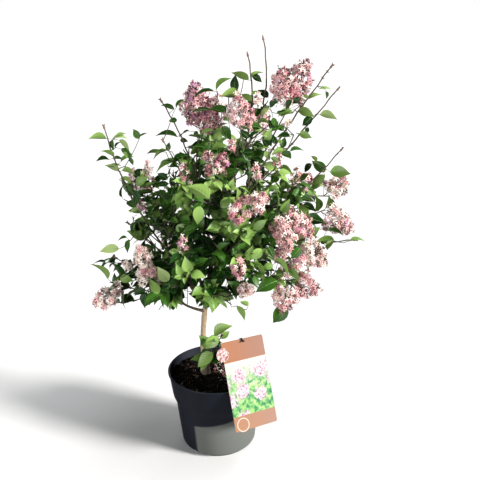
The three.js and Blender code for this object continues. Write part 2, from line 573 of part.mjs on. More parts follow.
function labelSolid() {
  const [w, h, r, depth] = [LABEL.width / 2, LABEL.height / 2, LABEL.corner, LABEL.thickness];
  const shape = new THREE.Shape();
  shape.moveTo(-w + r, -h);
  shape.lineTo(w - r, -h);
  shape.absarc(w - r, -h + r, r, -Math.PI / 2, 0);
  shape.lineTo(w, h - r);
  shape.absarc(w - r, h - r, r, 0, Math.PI / 2);
  shape.lineTo(LABEL.notchWidth / 2, h);
  shape.lineTo(0, h - LABEL.notchDepth);
  shape.lineTo(-LABEL.notchWidth / 2, h);
  shape.lineTo(-w + r, h);
  shape.absarc(-w + r, h - r, r, Math.PI / 2, Math.PI);
  shape.lineTo(-w, -h + r);
  shape.absarc(-w + r, -h + r, r, Math.PI, 1.5 * Math.PI);
  const flat = { depth, bevelEnabled: false, curveSegments: 3 };
  const disc = (radius, x, y) => {
    const round = new THREE.CylinderGeometry(radius, radius, depth, 16);
    return solidOf(round.rotateX(Math.PI / 2).translate(x, y, depth / 2));
  };
  const card = solidOf(new THREE.ExtrudeGeometry(shape, flat));
  const badge = disc(LABEL.badgeRadius, -w, h - LABEL.badgeDown);
  const ring = disc(LABEL.ringRadius, -w + LABEL.ringIn, -h + LABEL.ringUp);
  return joined([card, badge, ring]);
}

/** The stake stands in the compost behind the label, and its top hooks over the label's notch. */
function stakeSolid(frame, grow = 0) {
  const top = new THREE.Vector3(0, LABEL.height / 2 - LABEL.notchDepth, 0).applyMatrix4(frame);
  const foot = SOIL.top - STAKE.inSoil;
  const away = new THREE.Vector3(0, 0, -1).transformDirection(frame); // from the printed side to the back
  const behind = STAKE.thickness / 2 + CLEARANCE + STAKE.hookReach;
  const heading = Math.atan2(away.y, away.x);
  const [x, y] = [top.x + behind * Math.cos(heading), top.y + behind * Math.sin(heading)];
  const height = top.z + STAKE.hookDrop - foot;
  const post = new THREE.BoxGeometry(STAKE.thickness + 2 * grow, STAKE.width + 2 * grow, height + 2 * grow)
    .rotateZ(heading).translate(x, y, foot + height / 2);
  const hookLength = 2 * behind + STAKE.thickness;
  const hook = new THREE.BoxGeometry(hookLength, STAKE.width * 0.34, STAKE.thickness)
    .rotateZ(heading)
    .translate(top.x, top.y, top.z + STAKE.hookDrop - STAKE.thickness / 2);
  return solidOf(post).add(solidOf(hook));
}

// ---------------------------------------------------------------- materials and assembly

const finish = (color, roughness) => new THREE.MeshStandardMaterial({ color, roughness, metalness: 0 });
const FINISHES = {
  pot: finish(0x4a4f50, 0.55),
  soil: finish(0x1d1712, 0.95),
  bark: finish(0x9a8062, 0.85),
  foliage: finish(0x4c7a2b, 0.5),
  label: finish(0xb9573f, 0.4),
  stake: finish(0x111111, 0.5),
};

const lilac = new THREE.Group();

function add(name, solid, material, frame = null) {
  const mesh = new THREE.Mesh(geometryOf(solid), material);
  mesh.name = name;
  if (frame) frame.decompose(mesh.position, mesh.quaternion, mesh.scale);
  lilac.add(mesh);
}

const frame = labelFrame();
add("pot", potSolid(), FINISHES.pot);
add("soil", soilSolid(stakeSolid(frame, CLEARANCE)), FINISHES.soil);
add("label_card", labelSolid(), FINISHES.label, frame);
add("label_stake", stakeSolid(frame), FINISHES.stake);
add("trunk", trunkSolid(), FINISHES.bark);
for (const { name } of BOUGHS) add(name, boughSolid(name), FINISHES.bark);
const limbCutter = joined([...limbs.values()].map((limb) => limbSolid(limb, CLEARANCE)));
MASSES.forEach((mass, i) => add(mass.name, massSolid(mass, i + 1, limbCutter), FINISHES.foliage));

export default lilac;
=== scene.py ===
# A lilac bush in a round plastic nursery pot, with a picture label clipped to a stake.
# The rule that grows the bush works in millimetres, and MM turns its places into the frame's metres.
import json
import math

import bmesh
import bpy
import numpy as np
from mathutils import Matrix, Vector, noise

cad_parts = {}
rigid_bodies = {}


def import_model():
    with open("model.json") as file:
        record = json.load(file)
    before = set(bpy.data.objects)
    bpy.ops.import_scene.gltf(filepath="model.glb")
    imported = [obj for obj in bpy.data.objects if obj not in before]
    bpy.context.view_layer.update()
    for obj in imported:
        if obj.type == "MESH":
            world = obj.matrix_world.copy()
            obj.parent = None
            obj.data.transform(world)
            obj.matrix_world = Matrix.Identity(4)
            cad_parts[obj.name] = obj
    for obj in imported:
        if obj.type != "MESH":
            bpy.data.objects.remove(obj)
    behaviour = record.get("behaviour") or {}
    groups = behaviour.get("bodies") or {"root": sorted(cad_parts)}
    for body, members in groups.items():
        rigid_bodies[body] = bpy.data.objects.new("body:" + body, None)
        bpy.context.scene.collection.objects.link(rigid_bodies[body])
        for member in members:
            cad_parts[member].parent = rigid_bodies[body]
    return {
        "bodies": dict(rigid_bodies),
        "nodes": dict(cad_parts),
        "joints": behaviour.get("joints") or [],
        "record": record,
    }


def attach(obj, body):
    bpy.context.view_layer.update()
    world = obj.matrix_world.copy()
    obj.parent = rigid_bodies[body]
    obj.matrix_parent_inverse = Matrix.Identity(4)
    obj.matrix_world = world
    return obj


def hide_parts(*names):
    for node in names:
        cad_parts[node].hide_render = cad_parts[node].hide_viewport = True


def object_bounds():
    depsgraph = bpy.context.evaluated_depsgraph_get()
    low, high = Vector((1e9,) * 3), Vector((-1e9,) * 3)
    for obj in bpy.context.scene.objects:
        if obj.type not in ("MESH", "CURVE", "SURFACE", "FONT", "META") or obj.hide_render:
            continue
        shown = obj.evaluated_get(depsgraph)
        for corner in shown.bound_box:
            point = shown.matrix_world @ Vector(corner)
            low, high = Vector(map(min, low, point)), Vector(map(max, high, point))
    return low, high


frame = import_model()
cad_low, cad_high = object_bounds()
bpy.ops.object.select_all(action="DESELECT")

MM = 0.001

# ---- sizes, the first ones shared with the solids

POT = {"height": 158, "rim": 95, "base": 63.5, "wall": 1.8, "floor": 3}
POT_BAND = {"bottom": 110, "radius": 87, "step": 15, "body": 81.5, "taper": 9.5}
POT_CHAMFER = 8.5
POT_EDGE = 1.5  # how near the rings beside an edge stand to it
LIP = {"height": 4, "depth": 1.2}
DRAIN_HOLE = {"radius": 5, "ring": 46, "count": 6}
SOIL = {"top": 147, "lower": 1.6, "sink": 3, "edge": 16, "rings": 44, "skirt": 12}
LABEL = {"width": 87, "height": 163, "centre": (61.2, -72.6, 166.8), "turn": 30, "lean_back": 23.7, "lean": 3,
         "top_band": 38.5, "bottom_band": 26.5, "badge_radius": 12.5, "badge_down": 22, "ring_in": 17,
         "ring_up": 10.5, "ring_clear": 13.5, "ring_outer": 12.4, "ring_inner": 10.9}

TRUNK_LINE = np.array([(-22, 0, 145), (-24.5, -1, 215), (-19, 0, 285), (-3, 6, 380), (20, 12, 470),
                       (44, 15, 556)], float)
TRUNK_RADIUS = {"foot": 6.4, "tip": 2.3, "flare": 4.2, "flare_height": 11}
TRUNK_SWELLING = {"by": 0.35, "run": 8.5, "fade": 260}

# Main boughs: the height at which each leaves the trunk, the point where it enters its foliage, its radii.
BOUGHS = [
    ("bough_low_left", 279, (-60, -20, 305), (2.9, 1.9)),
    ("bough_low_front", 287, (4, -46, 324), (3.0, 2.0)),
    ("bough_left", 293, (-68, 4, 376), (3.7, 2.2)),
    ("bough_low_right", 300, (46, -22, 334), (3.2, 2.0)),
    ("bough_left_front", 309, (-44, -46, 360), (3.3, 2.1)),
    ("bough_back_left", 318, (-50, 52, 368), (3.3, 2.1)),
    ("bough_right", 331, (72, -6, 394), (3.4, 2.1)),
    ("bough_back_right", 343, (44, 60, 386), (3.2, 2.0)),
    ("bough_front", 352, (20, -46, 412), (3.2, 2.0)),
    ("bough_right_upper", 374, (80, 16, 450), (3.1, 2.0)),
    ("bough_back", 386, (4, 54, 462), (3.0, 1.9)),
    ("bough_top_left", 398, (-22, -2, 492), (3.0, 2.0)),
    ("bough_top_right", 432, (70, 2, 528), (2.8, 1.9)),
]


def mass(name, limb, along, tip, twigs, blooms=(), tone="pink", **more):
    """A mass of foliage: its stem grows from `limb` at the share `along` and ends at `tip`, `twigs` is how
    far side twigs reach, and `blooms` are flower heads on the stem's end, each with its own tip and radius.
    A stem with `via` bows through that point."""
    return {"name": name, "limb": limb, "along": along, "tip": np.array(tip, float), "twigs": twigs,
            "blooms": blooms, "tone": tone, "bare": 0.1, "bare_tip": 0, "leaf_size": 1, "via": None,
            "bloom_width": 1, **more}


MASSES = [
    mass("foliage_low_left", "bough_low_left", 1, (-168, -46, 350), 54, [(-200, -110, 344, 18)], "white"),
    mass("foliage_left_lower", "bough_low_left", 0.82, (-178, -8, 392), 60),
    mass("foliage_low_front", "bough_low_front", 1, (2, -120, 368), 60),
    mass("foliage_low_middle", "bough_low_front", 0.78, (60, -98, 358), 52,
         [(54, -124, 376, 12), (68, -120, 378, 10)], "pale"),
    mass("shoot_far_left", "bough_left", 1, (-181, 0, 629), 62, bare_tip=0.03, leaf_size=0.8,
         via=(-164, 2, 560)),
    mass("foliage_left", "bough_left", 0.9, (-108, -26, 540), 66, [(-107, -26, 574, 10)], "pale"),
    mass("foliage_left_side", "bough_left", 0.74, (-148, -22, 462), 60),
    mass("foliage_low_right", "bough_low_right", 1, (138, -84, 372), 58,
         [(119, -116, 332, 22), (186, -84, 350, 20)]),
    mass("foliage_left_front", "bough_left_front", 1, (-108, -112, 372), 60, [(-116, -116, 454, 26)], "white",
         bloom_width=0.76),
    mass("foliage_front_left", "bough_left_front", 0.78, (-42, -140, 446), 66,
         [(-43, -154, 482, 9)], "mauve"),
    mass("foliage_back_left", "bough_back_left", 1, (-140, 134, 468), 66, [(-162, 148, 520, 20)]),
    mass("foliage_back_low_left", "bough_back_left", 0.75, (-92, 154, 376), 66,
         [(-112, 176, 352, 16)], "pale"),
    mass("foliage_right", "bough_right", 1, (202, 0, 474), 56, [(250, -6, 433, 23)], "light"),
    mass("shoot_far_right", "bough_right", 0.88, (254, -24, 424), 46, bare=0.2, leaf_size=0.95),
    mass("foliage_right_low", "bough_right", 0.72, (160, -76, 446), 56, [(192, -98, 404, 21)], "pale"),
    mass("foliage_back_right", "bough_back_right", 1, (158, 130, 458), 66, [(192, 148, 504, 20)]),
    mass("foliage_back_low_right", "bough_back_right", 0.75, (82, 170, 394), 66, [(96, 200, 374, 16)]),
    mass("foliage_front", "bough_front", 1, (66, -126, 518), 56, [(34, -148, 512, 18), (88, -142, 544, 17)]),
    mass("foliage_front_right", "bough_front", 0.84, (118, -106, 500), 56,
         [(128, -138, 446, 22), (168, -116, 468, 21)]),
    mass("foliage_front_low", "bough_front", 0.66, (44, -140, 434), 58, [(48, -158, 408, 12)]),
    mass("foliage_right_upper", "bough_right_upper", 1, (214, 52, 484), 52, [(250, 54, 516, 21)], "pale"),
    mass("shoot_right", "bough_right_upper", 0.556, (232, 24, 578), 56, bare=0.15, bare_tip=0.1,
         leaf_size=0.85, via=(183, 18, 526)),
    mass("foliage_right_inner", "bough_right_upper", 0.7, (150, -10, 522), 60, [(152, -8, 557, 10)]),
    mass("foliage_back_upper", "bough_back", 1, (-18, 134, 612), 66, [(-28, 148, 668, 20)]),
    mass("foliage_back_middle", "bough_back", 0.82, (86, 136, 586), 66, [(102, 148, 636, 20)], "pale"),
    mass("foliage_back", "bough_back", 0.66, (-4, 180, 490), 66, [(-4, 214, 520, 17)]),
    mass("foliage_top_left", "bough_top_left", 1, (-14, -8, 624), 58,
         [(-22, -10, 706, 23), (14, -14, 672, 20)], "purple"),
    mass("shoot_top_left", "bough_top_left", 0.88, (-84, 28, 668), 54, leaf_size=0.85, via=(-56, 18, 618)),
    mass("foliage_upper_left", "bough_top_left", 0.72, (-76, -44, 612), 60),
    mass("foliage_upper_front", "bough_top_left", 0.55, (-36, -90, 548), 62, [(-41, -94, 584, 9)], "mauve"),
    mass("shoot_top", "trunk", 1, (94, 30, 769), 52, bare=0.15, bare_tip=0.32, leaf_size=0.75,
         via=(98, 22, 690)),
    mass("shoot_top_inner", "trunk", 0.95, (67, 0, 745), 50, bare=0.15, bare_tip=0.24, leaf_size=0.75,
         via=(74, 8, 682)),
    mass("foliage_top_middle", "trunk", 0.89, (56, -60, 631), 56, [(50, -62, 690, 17), (72, -50, 661, 13)]),
    mass("foliage_upper_middle", "trunk", 0.82, (16, -98, 566), 58,
         [(-2, -112, 606, 15), (28, -104, 602, 13)], "mauve"),
    mass("foliage_inner_left", "trunk", 0.46, (-84, 24, 452), 62),
    mass("foliage_inner_front", "trunk", 0.41, (-24, -84, 384), 62),
    mass("foliage_inner_right", "trunk", 0.5, (92, 30, 400), 62),
    mass("foliage_top_right", "bough_top_right", 1, (138, 0, 660), 54,
         [(122, -18, 724, 24), (168, 18, 734, 24)], "rose"),
    mass("shoot_top_right", "bough_top_right", 0.78, (204, -24, 726), 50, bare=0.2, bare_tip=0.14,
         leaf_size=0.72, via=(167, -12, 673)),
    mass("shoot_upper_right", "bough_top_right", 0.62, (222, 20, 684), 50, bare=0.15, bare_tip=0.08,
         leaf_size=0.76, via=(177, 14, 632)),
    mass("foliage_upper_right", "bough_top_right", 0.45, (112, -56, 566), 58, [(120, -44, 590, 8)]),
    mass("basal_shoot", "trunk", 0.04, (12, -26, 240), 30, bare=0.12, leaf_size=0.8),
]

# The growth rule's own sizes.
BOUGH_BEND = {"along": 0.55, "up": 0.36}
STEM_BEND = {"along": 0.45, "rise": 0.06}
STEM_RADII = (1.8, 0.9)
SHOOT_RADII = (1.9, 1.05)
SHOOT_KINK = 0.8
STEM_PIECES = 3
STEM_STEPS = 14  # pieces of a stem as it is drawn
TWIG_RADII = (1.4, 0.8)
SPRAY_RADII = (0.85, 0.55)
THIN_TWIG_RADII = (1.0, 0.6)
STALK_SIZE = {"radius": 0.55, "into_leaf": 0.8}
TWIG_ANGLE, TWIG_ANGLE_SPREAD = 52, 16
TWIG_LIFT = 0.12
TWIG_TRIES = (1, 0.75, 0.5)
INTERNODE = 38
TWIG_INTERNODE = 27
SIDE_TWIGS_UP_TO = 0.55
LEAF = {"length": 55, "width": 0.64, "widest": 0.4}
LEAF_ANGLE, LEAF_ANGLE_SPREAD = 62, 26
LEAF_SWAY = 0.7
TWIG_END_LEAF = {"at": 0.93, "size": 0.75}
LEAF_FACING = 0.9
# A leaf tries for room by size and by turn, in degrees.
LEAF_TRIES = ((1, 0), (1, 34), (1, -34), (0.85, 60), (0.85, -60), (0.7, 20), (0.7, 85), (0.7, -85))
LEAF_SPACING = 0.44
SPACE_GAP = 1.6
LIMB_GAP = 2.2
HEAD_GAP = 1.5
WOOD_GAP = 2.4
BLOOM_FROM = 0.95
# A head's outline: share of its length, share of its radius.
BLOOM_PROFILE = ((0, 0), (0.2, 0.9), (0.68, 0.82), (1, 0))

# The finer growth: each leaf of the rule above becomes a leaf of natural size on a stalk, with a short spray
# of smaller leaves from its axil.
BLADE = {"share": 0.69, "spread": 0.36, "shoot_share": 0.95, "longest": 44, "stalk": 0.12}
SPRAY = {"chance": 1.0, "shoot_chance": 0.12, "reach": 0.5, "spread": 0.4, "node": 14, "parts": (1, 0.55)}
SPRAY_LEAF = {"share": 0.47, "spread": 0.36, "angle": 56, "last": 18, "spacing": 0.33}
SPRAY_TRIES = ((1, 0), (1, 40), (1, -40), (0.8, 75), (0.8, -75))
BETWEEN = {"share": 0.6, "shoot_share": 0.78}  # leaves on a stem between two nodes, of a leaf's length
# Short shoots along the boughs.
BOUGH_SPRAY = {"from": 0.34, "gap": 15, "reach": 32, "node": 13, "tip_clear": 4, "leaf": 32,
               "leaf_clear": 0.8, "spacing": 0.3, "angle": 58, "last_angle": 38}
FLORET = {"width": 8.3, "pitch": 5.7}
HEAD = {"per_branch": 120, "from": 0.2, "to": 0.93, "ball": 0.45, "out": 0.74, "cover": 0.86, "overlap": 4,
        "stray_chance": 0.24, "stray": 1.35, "tip_buds": 0.3, "turn_spread": 1.1, "thinnest": 0.16,
        "branch_drop": 0.22, "like_main": 0.5, "bud_size": 0.75}
HEAD_STALK_RADII, BRANCH_RADII = (0.8, 0.35), (0.5, 0.35)
PROUD = 6  # how far the finer growth may pass the solids' box
GOLDEN_TURN = 2.39996  # between two shoots of a spiral, in radians
# Starts of the random draws. A mass's coarse growth starts with its number, as in the solids.
SEEDS = {"boughs": 4400, "finer": 7001, "heads": 9000, "fallen": 9800, "loose_heads": 9900,
         "clods": 21, "chips": 22, "chips_behind": 23, "specks": 24}

# ---- small tools for places


def seeded(seed):
    """Even numbers from 0 to 1, always the same for one seed."""
    state = int(seed) & 0xFFFFFFFF

    def draw():
        nonlocal state
        state = (state + 0x6D2B79F5) & 0xFFFFFFFF
        t = state
        t = ((t ^ (t >> 15)) * (t | 1)) & 0xFFFFFFFF
        t ^= (t + (((t ^ (t >> 7)) * (t | 61)) & 0xFFFFFFFF)) & 0xFFFFFFFF
        return ((t ^ (t >> 14)) & 0xFFFFFFFF) / 4294967296

    return draw


def swing(draw, width):
    """An even number around 0, with `width` between its lowest and its highest."""
    return width * (draw() - 0.5)


def swings(draw, width):
    return np.array([swing(draw, width) for _ in range(3)])


def length_of(v):
    return math.sqrt(v[0] * v[0] + v[1] * v[1] + v[2] * v[2])


def unit(v):
    return v / (length_of(v) or 1)


def cross(a, b):
    return np.array((a[1] * b[2] - a[2] * b[1], a[2] * b[0] - a[0] * b[2], a[0] * b[1] - a[1] * b[0]))


def square_to(axis):
    """Two unit vectors square to `axis` and to each other."""
    reference = np.array((0.0, 0.0, 1.0)) if abs(axis[2]) < 0.9 else np.array((1.0, 0.0, 0.0))
    side = unit(reference - axis * (axis @ reference))
    return side, cross(axis, side)


def sideways(axis, turn):
    """A unit vector square to `axis`, `turn` radians round it."""
    first, second = square_to(axis)
    return first * math.cos(turn) + second * math.sin(turn)


def turned(v, axis, degrees):
    """The vector `v`, turned round the unit vector `axis`."""
    a = math.radians(degrees)
    return v * math.cos(a) + cross(axis, v) * math.sin(a) + axis * (axis @ v) * (1 - math.cos(a))


def line_length(points):
    return sum(length_of(b - a) for a, b in zip(points, points[1:]))


def tangent(curve, t):
    return unit(curve(min(t + 1e-4, 1)) - curve(max(t - 1e-4, 0)))


def bezier(start, bend, end):
    return lambda t: start * (1 - t) ** 2 + bend * 2 * t * (1 - t) + end * t * t


# ---- trunk, boughs and stems as lines


def trunk_curve(t):
    last = len(TRUNK_LINE) - 1
    i = min(int(last * t), last - 1)
    s = last * t - i
    a, b = TRUNK_LINE[i], TRUNK_LINE[i + 1]
    before = TRUNK_LINE[i - 1] if i else 2 * a - b
    after = TRUNK_LINE[i + 2] if i + 2 <= last else 2 * b - a
    leaving, arriving = (b - before) / 2, (after - a) / 2
    return (a + leaving * s + (3 * (b - a) - 2 * leaving - arriving) * s ** 2
            + (2 * (a - b) + leaving + arriving) * s ** 3)


def trunk_radius(t):
    height = trunk_curve(t)[2] - SOIL["top"]
    flare = TRUNK_RADIUS["flare"] * math.exp(-max(height, 0) / TRUNK_RADIUS["flare_height"])
    swelling = TRUNK_SWELLING["by"] * math.sin(height / TRUNK_SWELLING["run"])
    swelling *= math.exp(-height / TRUNK_SWELLING["fade"])
    return TRUNK_RADIUS["foot"] + (TRUNK_RADIUS["tip"] - TRUNK_RADIUS["foot"]) * t + flare + swelling


def trunk_at(height):
    low, high = 0, 1
    for _ in range(30):
        middle = (low + high) / 2
        if trunk_curve(middle)[2] < height:
            low = middle
        else:
            high = middle
    return low


def bough_curve(height, tip):
    start, end = trunk_curve(trunk_at(height)), np.array(tip, float)
    bend = start + (end - start) * BOUGH_BEND["along"]
    bend[2] = start[2] + (end[2] - start[2]) * BOUGH_BEND["up"]
    return bezier(start, bend, end)


def tapering(radii):
    return lambda t: radii[0] + (radii[1] - radii[0]) * t


LIMBS = {"trunk": (trunk_curve, trunk_radius)}
LIMBS.update({name: (bough_curve(height, tip), tapering(radii)) for name, height, tip, radii in BOUGHS})


def stem_curve(m):
    """A mass's stem: it goes on from its limb's tip or leaves the limb's side, and ends at the mass's tip."""
    curve = LIMBS[m["limb"]][0]
    start, end = curve(m["along"]), m["tip"]
    length = length_of(end - start)
    at_tip = m["along"] == 1
    bend = start + (tangent(curve, 1) if at_tip else unit(end - start)) * STEM_BEND["along"] * length
    bend[2] += 0 if at_tip else STEM_BEND["rise"] * length
    return bezier(start, bend, end)


def bowed_curve(m):
    """The stem as it is drawn: it bows through the mass's `via`, where it has one."""
    if m["via"] is None:
        return m["curve"]
    start, via, end = m["curve"](0), np.array(m["via"], float), m["tip"]
    t = length_of(via - start) / (length_of(via - start) + length_of(end - via))
    return bezier(start, (via - start * (1 - t) ** 2 - end * t * t) / (2 * t * (1 - t)), end)


def knots_of(curve):
    return [curve(i / STEM_PIECES) for i in range(STEM_PIECES + 1)]


def on_chain(knots, t):
    i = min(int(t * STEM_PIECES), STEM_PIECES - 1)
    return knots[i] + (knots[i + 1] - knots[i]) * (t * STEM_PIECES - i)


def chain_heading(knots, t):
    i = min(int(t * STEM_PIECES), STEM_PIECES - 1)
    return unit(knots[i + 1] - knots[i])


for m in MASSES:
    m["curve"] = stem_curve(m)
    m["knots"] = knots_of(m["curve"])
    m["curve"] = bowed_curve(m)
    m["head_base"] = on_chain(m["knots"], BLOOM_FROM)
    m["heads"] = [(m["head_base"], np.array(b[:3], float), b[3]) for b in m["blooms"]]


class Lines:
    """Groups of tapering lines. A line is a list of points and their radii."""

    def __init__(self, groups):
        rows = [(p[i], p[i + 1] - p[i], r[i], r[i + 1] - r[i], g)
                for g, lines in enumerate(groups) for p, r in lines for i in range(len(p) - 1)]
        self.start = np.array([row[0] for row in rows]).reshape(-1, 3)
        self.run = np.array([row[1] for row in rows]).reshape(-1, 3)
        self.radius, self.growth = (np.array([row[k] for row in rows]) for k in (2, 3))
        self.square = (self.run ** 2).sum(1)
        group = np.array([row[4] for row in rows])
        self.first = np.flatnonzero(np.r_[True, group[1:] != group[:-1]]) if rows else None

    def distances(self, places):
        """How far each place is from the surface of each group."""
        if self.first is None:
            return np.full((len(places), 1), np.inf)
        off = places[:, None, :] - self.start
        share = np.clip((off * self.run).sum(2) / self.square, 0, 1)
        gap = np.sqrt(((off - self.run * share[..., None]) ** 2).sum(2)) - self.radius - self.growth * share
        return np.minimum.reduceat(gap, self.first, axis=1)


def head_line(base, tip, radius):
    return ([base + (tip - base) * along for along, _ in BLOOM_PROFILE],
            [share * radius + HEAD_GAP for _, share in BLOOM_PROFILE])


def sampled(curve, steps, radius_at=lambda t: 0):
    return [curve(i / steps) for i in range(steps + 1)], [radius_at(i / steps) for i in range(steps + 1)]


SPACES = Lines([[(m["knots"], [0] * (STEM_PIECES + 1))] + [head_line(*head) for head in m["heads"]]
                for m in MASSES])
LIMB_LINES = Lines([[sampled(curve, 10, radius_at)] for curve, radius_at in LIMBS.values()])


def fits(index, places):
    """True where every place is nearer to its own mass than to any other, and clear of the limbs."""
    gaps = SPACES.distances(places)
    own = gaps[:, index].copy()
    gaps[:, index] = np.inf
    return bool((gaps.min(1) >= own + SPACE_GAP).all() and (LIMB_LINES.distances(places) > LIMB_GAP).all())


# ---- the growth rule


def place_leaf(base, axis, out, length, draw, angle=LEAF_ANGLE):
    angle = math.radians(angle + swing(draw, LEAF_ANGLE_SPREAD))
    lift = 0.5 * (draw() - 0.72)
    sway_x, sway_y = swing(draw, LEAF_SWAY), swing(draw, LEAF_SWAY)
    direction = axis * math.cos(angle) + out * math.sin(angle)
    direction[2] += lift
    direction = unit(direction)
    outward = unit(base * (1, 1, 0)) * LEAF_FACING
    side = cross(direction, (outward[0] + sway_x, outward[1] + sway_y, 1))
    if length_of(side) < 0.25:
        side = cross(direction, out) + axis * 0.3
    side = unit(side)
    return {"base": base, "axis": axis, "direction": direction, "side": side, "face": cross(side, direction),
            "length": length}


def leaf_places(leaf):
    """Places on the blade that test its room: the first is its tip, the seventh and eighth lie inwards."""
    half = LEAF["width"] * leaf["length"] / 2
    widest = LEAF["widest"]
    spots = ((1, 0), (0.85, 0), (0.7, 0.5), (0.7, -0.5), (widest, 1), (widest, -1), (widest, 0), (0.25, 0.5),
             (0.25, -0.5))
    return np.array([leaf["base"] + leaf["direction"] * (along * leaf["length"])
                     + leaf["side"] * (across * half) for along, across in spots])


def middle_of(leaf):
    return leaf["base"] + leaf["direction"] * leaf["length"] / 2


class Growth:
    """What grows in one mass, by a row of random numbers of its own."""

    def __init__(self, index, m, seed):
        self.index, self.m, self.draw = index, m, seeded(seed)
        self.heads = Lines([[head_line(*head)] for head in m["heads"]])

    def in_head(self, places, overlap=0):
        return bool((self.heads.distances(places) < -overlap).any())


class CoarseGrowth(Growth):
    """The twigs and leaves of one mass, by the rule that its solid follows."""

    def __init__(self, index, m):
        super().__init__(index, m, index + 1)
        self.twigs, self.leaves, self.between = [], [], []
        self.wood = [(m["knots"], [0] * (STEM_PIECES + 1))]

    def across_wood(self, places):
        return bool((Lines([self.wood]).distances(places) < WOOD_GAP).any())

    def add_leaf(self, base, axis, out, size, shift):
        """A leaf from `base`, at the first of some angles and sizes that has room."""
        tilt = self.draw()
        for share, turn in LEAF_TRIES:
            leaf = place_leaf(base, axis, turned(out, axis, turn), size * share, seeded(1e6 * tilt))
            middle = middle_of(leaf)
            spacing = LEAF_SPACING * leaf["length"]
            if any(length_of(other["middle"] - middle) < spacing for other in self.leaves):
                continue
            places = leaf_places(leaf)
            if not self.in_head(places) and not self.across_wood(places) and fits(self.index, places):
                self.leaves.append({**leaf, "middle": middle, "shift": shift})
                return

    def add_twig(self, base, axis, out, reach, shift):
        """A side twig with its leaves. Returns False where there is no room for it."""
        angle = math.radians(TWIG_ANGLE + swing(self.draw, TWIG_ANGLE_SPREAD))
        direction = axis * math.cos(angle) + out * math.sin(angle)
        direction[2] += TWIG_LIFT
        direction = unit(direction)
        whole = reach * (0.75 + 0.4 * self.draw())
        for part in TWIG_TRIES:
            places = np.array([base + direction * (along * part * whole) for along in (0.25, 0.5, 0.75, 1)])
            if not self.in_head(places) and fits(self.index, places):
                break
        else:
            return False
        twig = {"base": base, "direction": direction, "length": part * whole, "shift": shift}
        self.twigs.append(twig)
        self.wood.append(([base, base + direction * twig["length"]], [0, 0]))
        self.add_twig_leaves(twig)
        return True

    def add_twig_leaves(self, twig):
        """Pairs of leaves along a twig, each square to the last, and one at its end."""
        base, direction, length, shift = (twig[key] for key in ("base", "direction", "length", "shift"))
        whole = LEAF["length"] * self.m["leaf_size"]
        pairs = max(1, int(length / TWIG_INTERNODE + 0.5))
        flat, steep = square_to(direction)
        for pair in range(1, pairs + 1):
            place = base + direction * (length * pair / (pairs + 0.25))
            across = steep if pair % 2 else flat
            size = whole * (0.86 + 0.28 * self.draw()) * (0.88 if pair == pairs else 1)
            self.add_leaf(place, direction, across, size, shift)
            self.add_leaf(place, direction, -across, size, shift)
        last = TWIG_END_LEAF["size"] * self.m["leaf_size"] * LEAF["length"]
        self.add_leaf(base + direction * (TWIG_END_LEAF["at"] * length), direction, steep, last, shift)

    def grow(self):
        """Twigs or leaves in pairs, node by node up the stem."""
        m, knots = self.m, self.m["knots"]
        leafy = 1 - m["bare"] - m["bare_tip"]
        nodes = max(2, int(line_length(knots) * leafy / (INTERNODE * m["leaf_size"]) + 0.5))
        phase = math.pi * self.draw()
        for node in range(nodes):
            t = m["bare"] + leafy * (node + 0.5) / nodes
            base, axis = on_chain(knots, t), chain_heading(knots, t)
            shift = m["curve"](t) - base
            turn = phase + node * math.pi / 2 + swing(self.draw, 0.5)
            out = sideways(axis, turn)
            for way in (1, -1):
                reach = m["twigs"] * (1.1 - 0.6 * t)
                size = LEAF["length"] * m["leaf_size"] * (0.85 + 0.3 * self.draw()) * (1.12 - 0.42 * t)
                if t > SIDE_TWIGS_UP_TO or not self.add_twig(base, axis, out * way, reach, shift):
                    self.add_leaf(base, axis, out * way, size, shift)
            self.between.append((m["bare"] + leafy * (node + 1) / nodes, turn + math.pi / 4))


# ---- the finer growth

CROWN_CENTRE = np.array((24.0, 12.0, 500.0))
TO_LIGHT = unit(np.array((0.62, -0.5, 0.6)))
BOX_LOW, BOX_HIGH = np.array(cad_low) / MM - PROUD, np.array(cad_high) / MM + PROUD
# Spaces open to the sky between the outer shoots: left, right, low and high ends, and how far back each goes.
# Single leaves may stand in them.
OPEN_FROM = -300
OPENINGS = np.array([((left, OPEN_FROM, low), (right, back, high)) for left, right, low, high, back in (
    (-260, -118, 535, 690, 300), (-150, -42, 586, 700, 100), (2, 112, 672, 780, 300), (84, 280, 556, 780, 60),
    (160, 280, 528, 600, 100), (203, 290, 380, 442, 40), (20, 76, 384, 434, -150), (-260, -140, 392, 524, 60),
    (60, 114, 290, 364, -40), (-260, -150, 524, 560, 60), (45, 84, 586, 618, -20),
)], float)
TINT = {"light_reach": 210, "outside": 0.35, "outside_reach": 250, "middle": 1.25, "spread": 2.7}
UNDERSIDE = {"height": 300, "slope": -0.34}  # the crown's underside, at the trunk and per millimetre of depth


def in_box(places):
    return bool((places >= BOX_LOW).all() and (places <= BOX_HIGH).all())


def in_the_open(places, underside=True):
    """True where a place stands in an opening or under the crown."""
    inside = (places[:, None, :] > OPENINGS[None, :, 0]) & (places[:, None, :] < OPENINGS[None, :, 1])
    low = places[:, 2] < UNDERSIDE["height"] + UNDERSIDE["slope"] * places[:, 1]
    return bool(inside.all(2).any() or (underside and low.any()))


def tint_of(place, draw):
    """Which green a spray has, from 0, deep, to 4, bright: painted light and shade, brighter towards the
    light and the outside.
    """
    off = place - CROWN_CENTRE
    exposure = (off @ TO_LIGHT) / TINT["light_reach"]
    exposure += TINT["outside"] * length_of(off) / TINT["outside_reach"]
    return int(min(4, max(0, TINT["middle"] + exposure + swing(draw, TINT["spread"]) + 0.5)))


def on_stalk(root, leaf, length):
    """The blade at the end of a stalk from `root`."""
    base = root + leaf["direction"] * (BLADE["stalk"] * leaf["length"])
    return {**leaf, "base": base, "length": length}


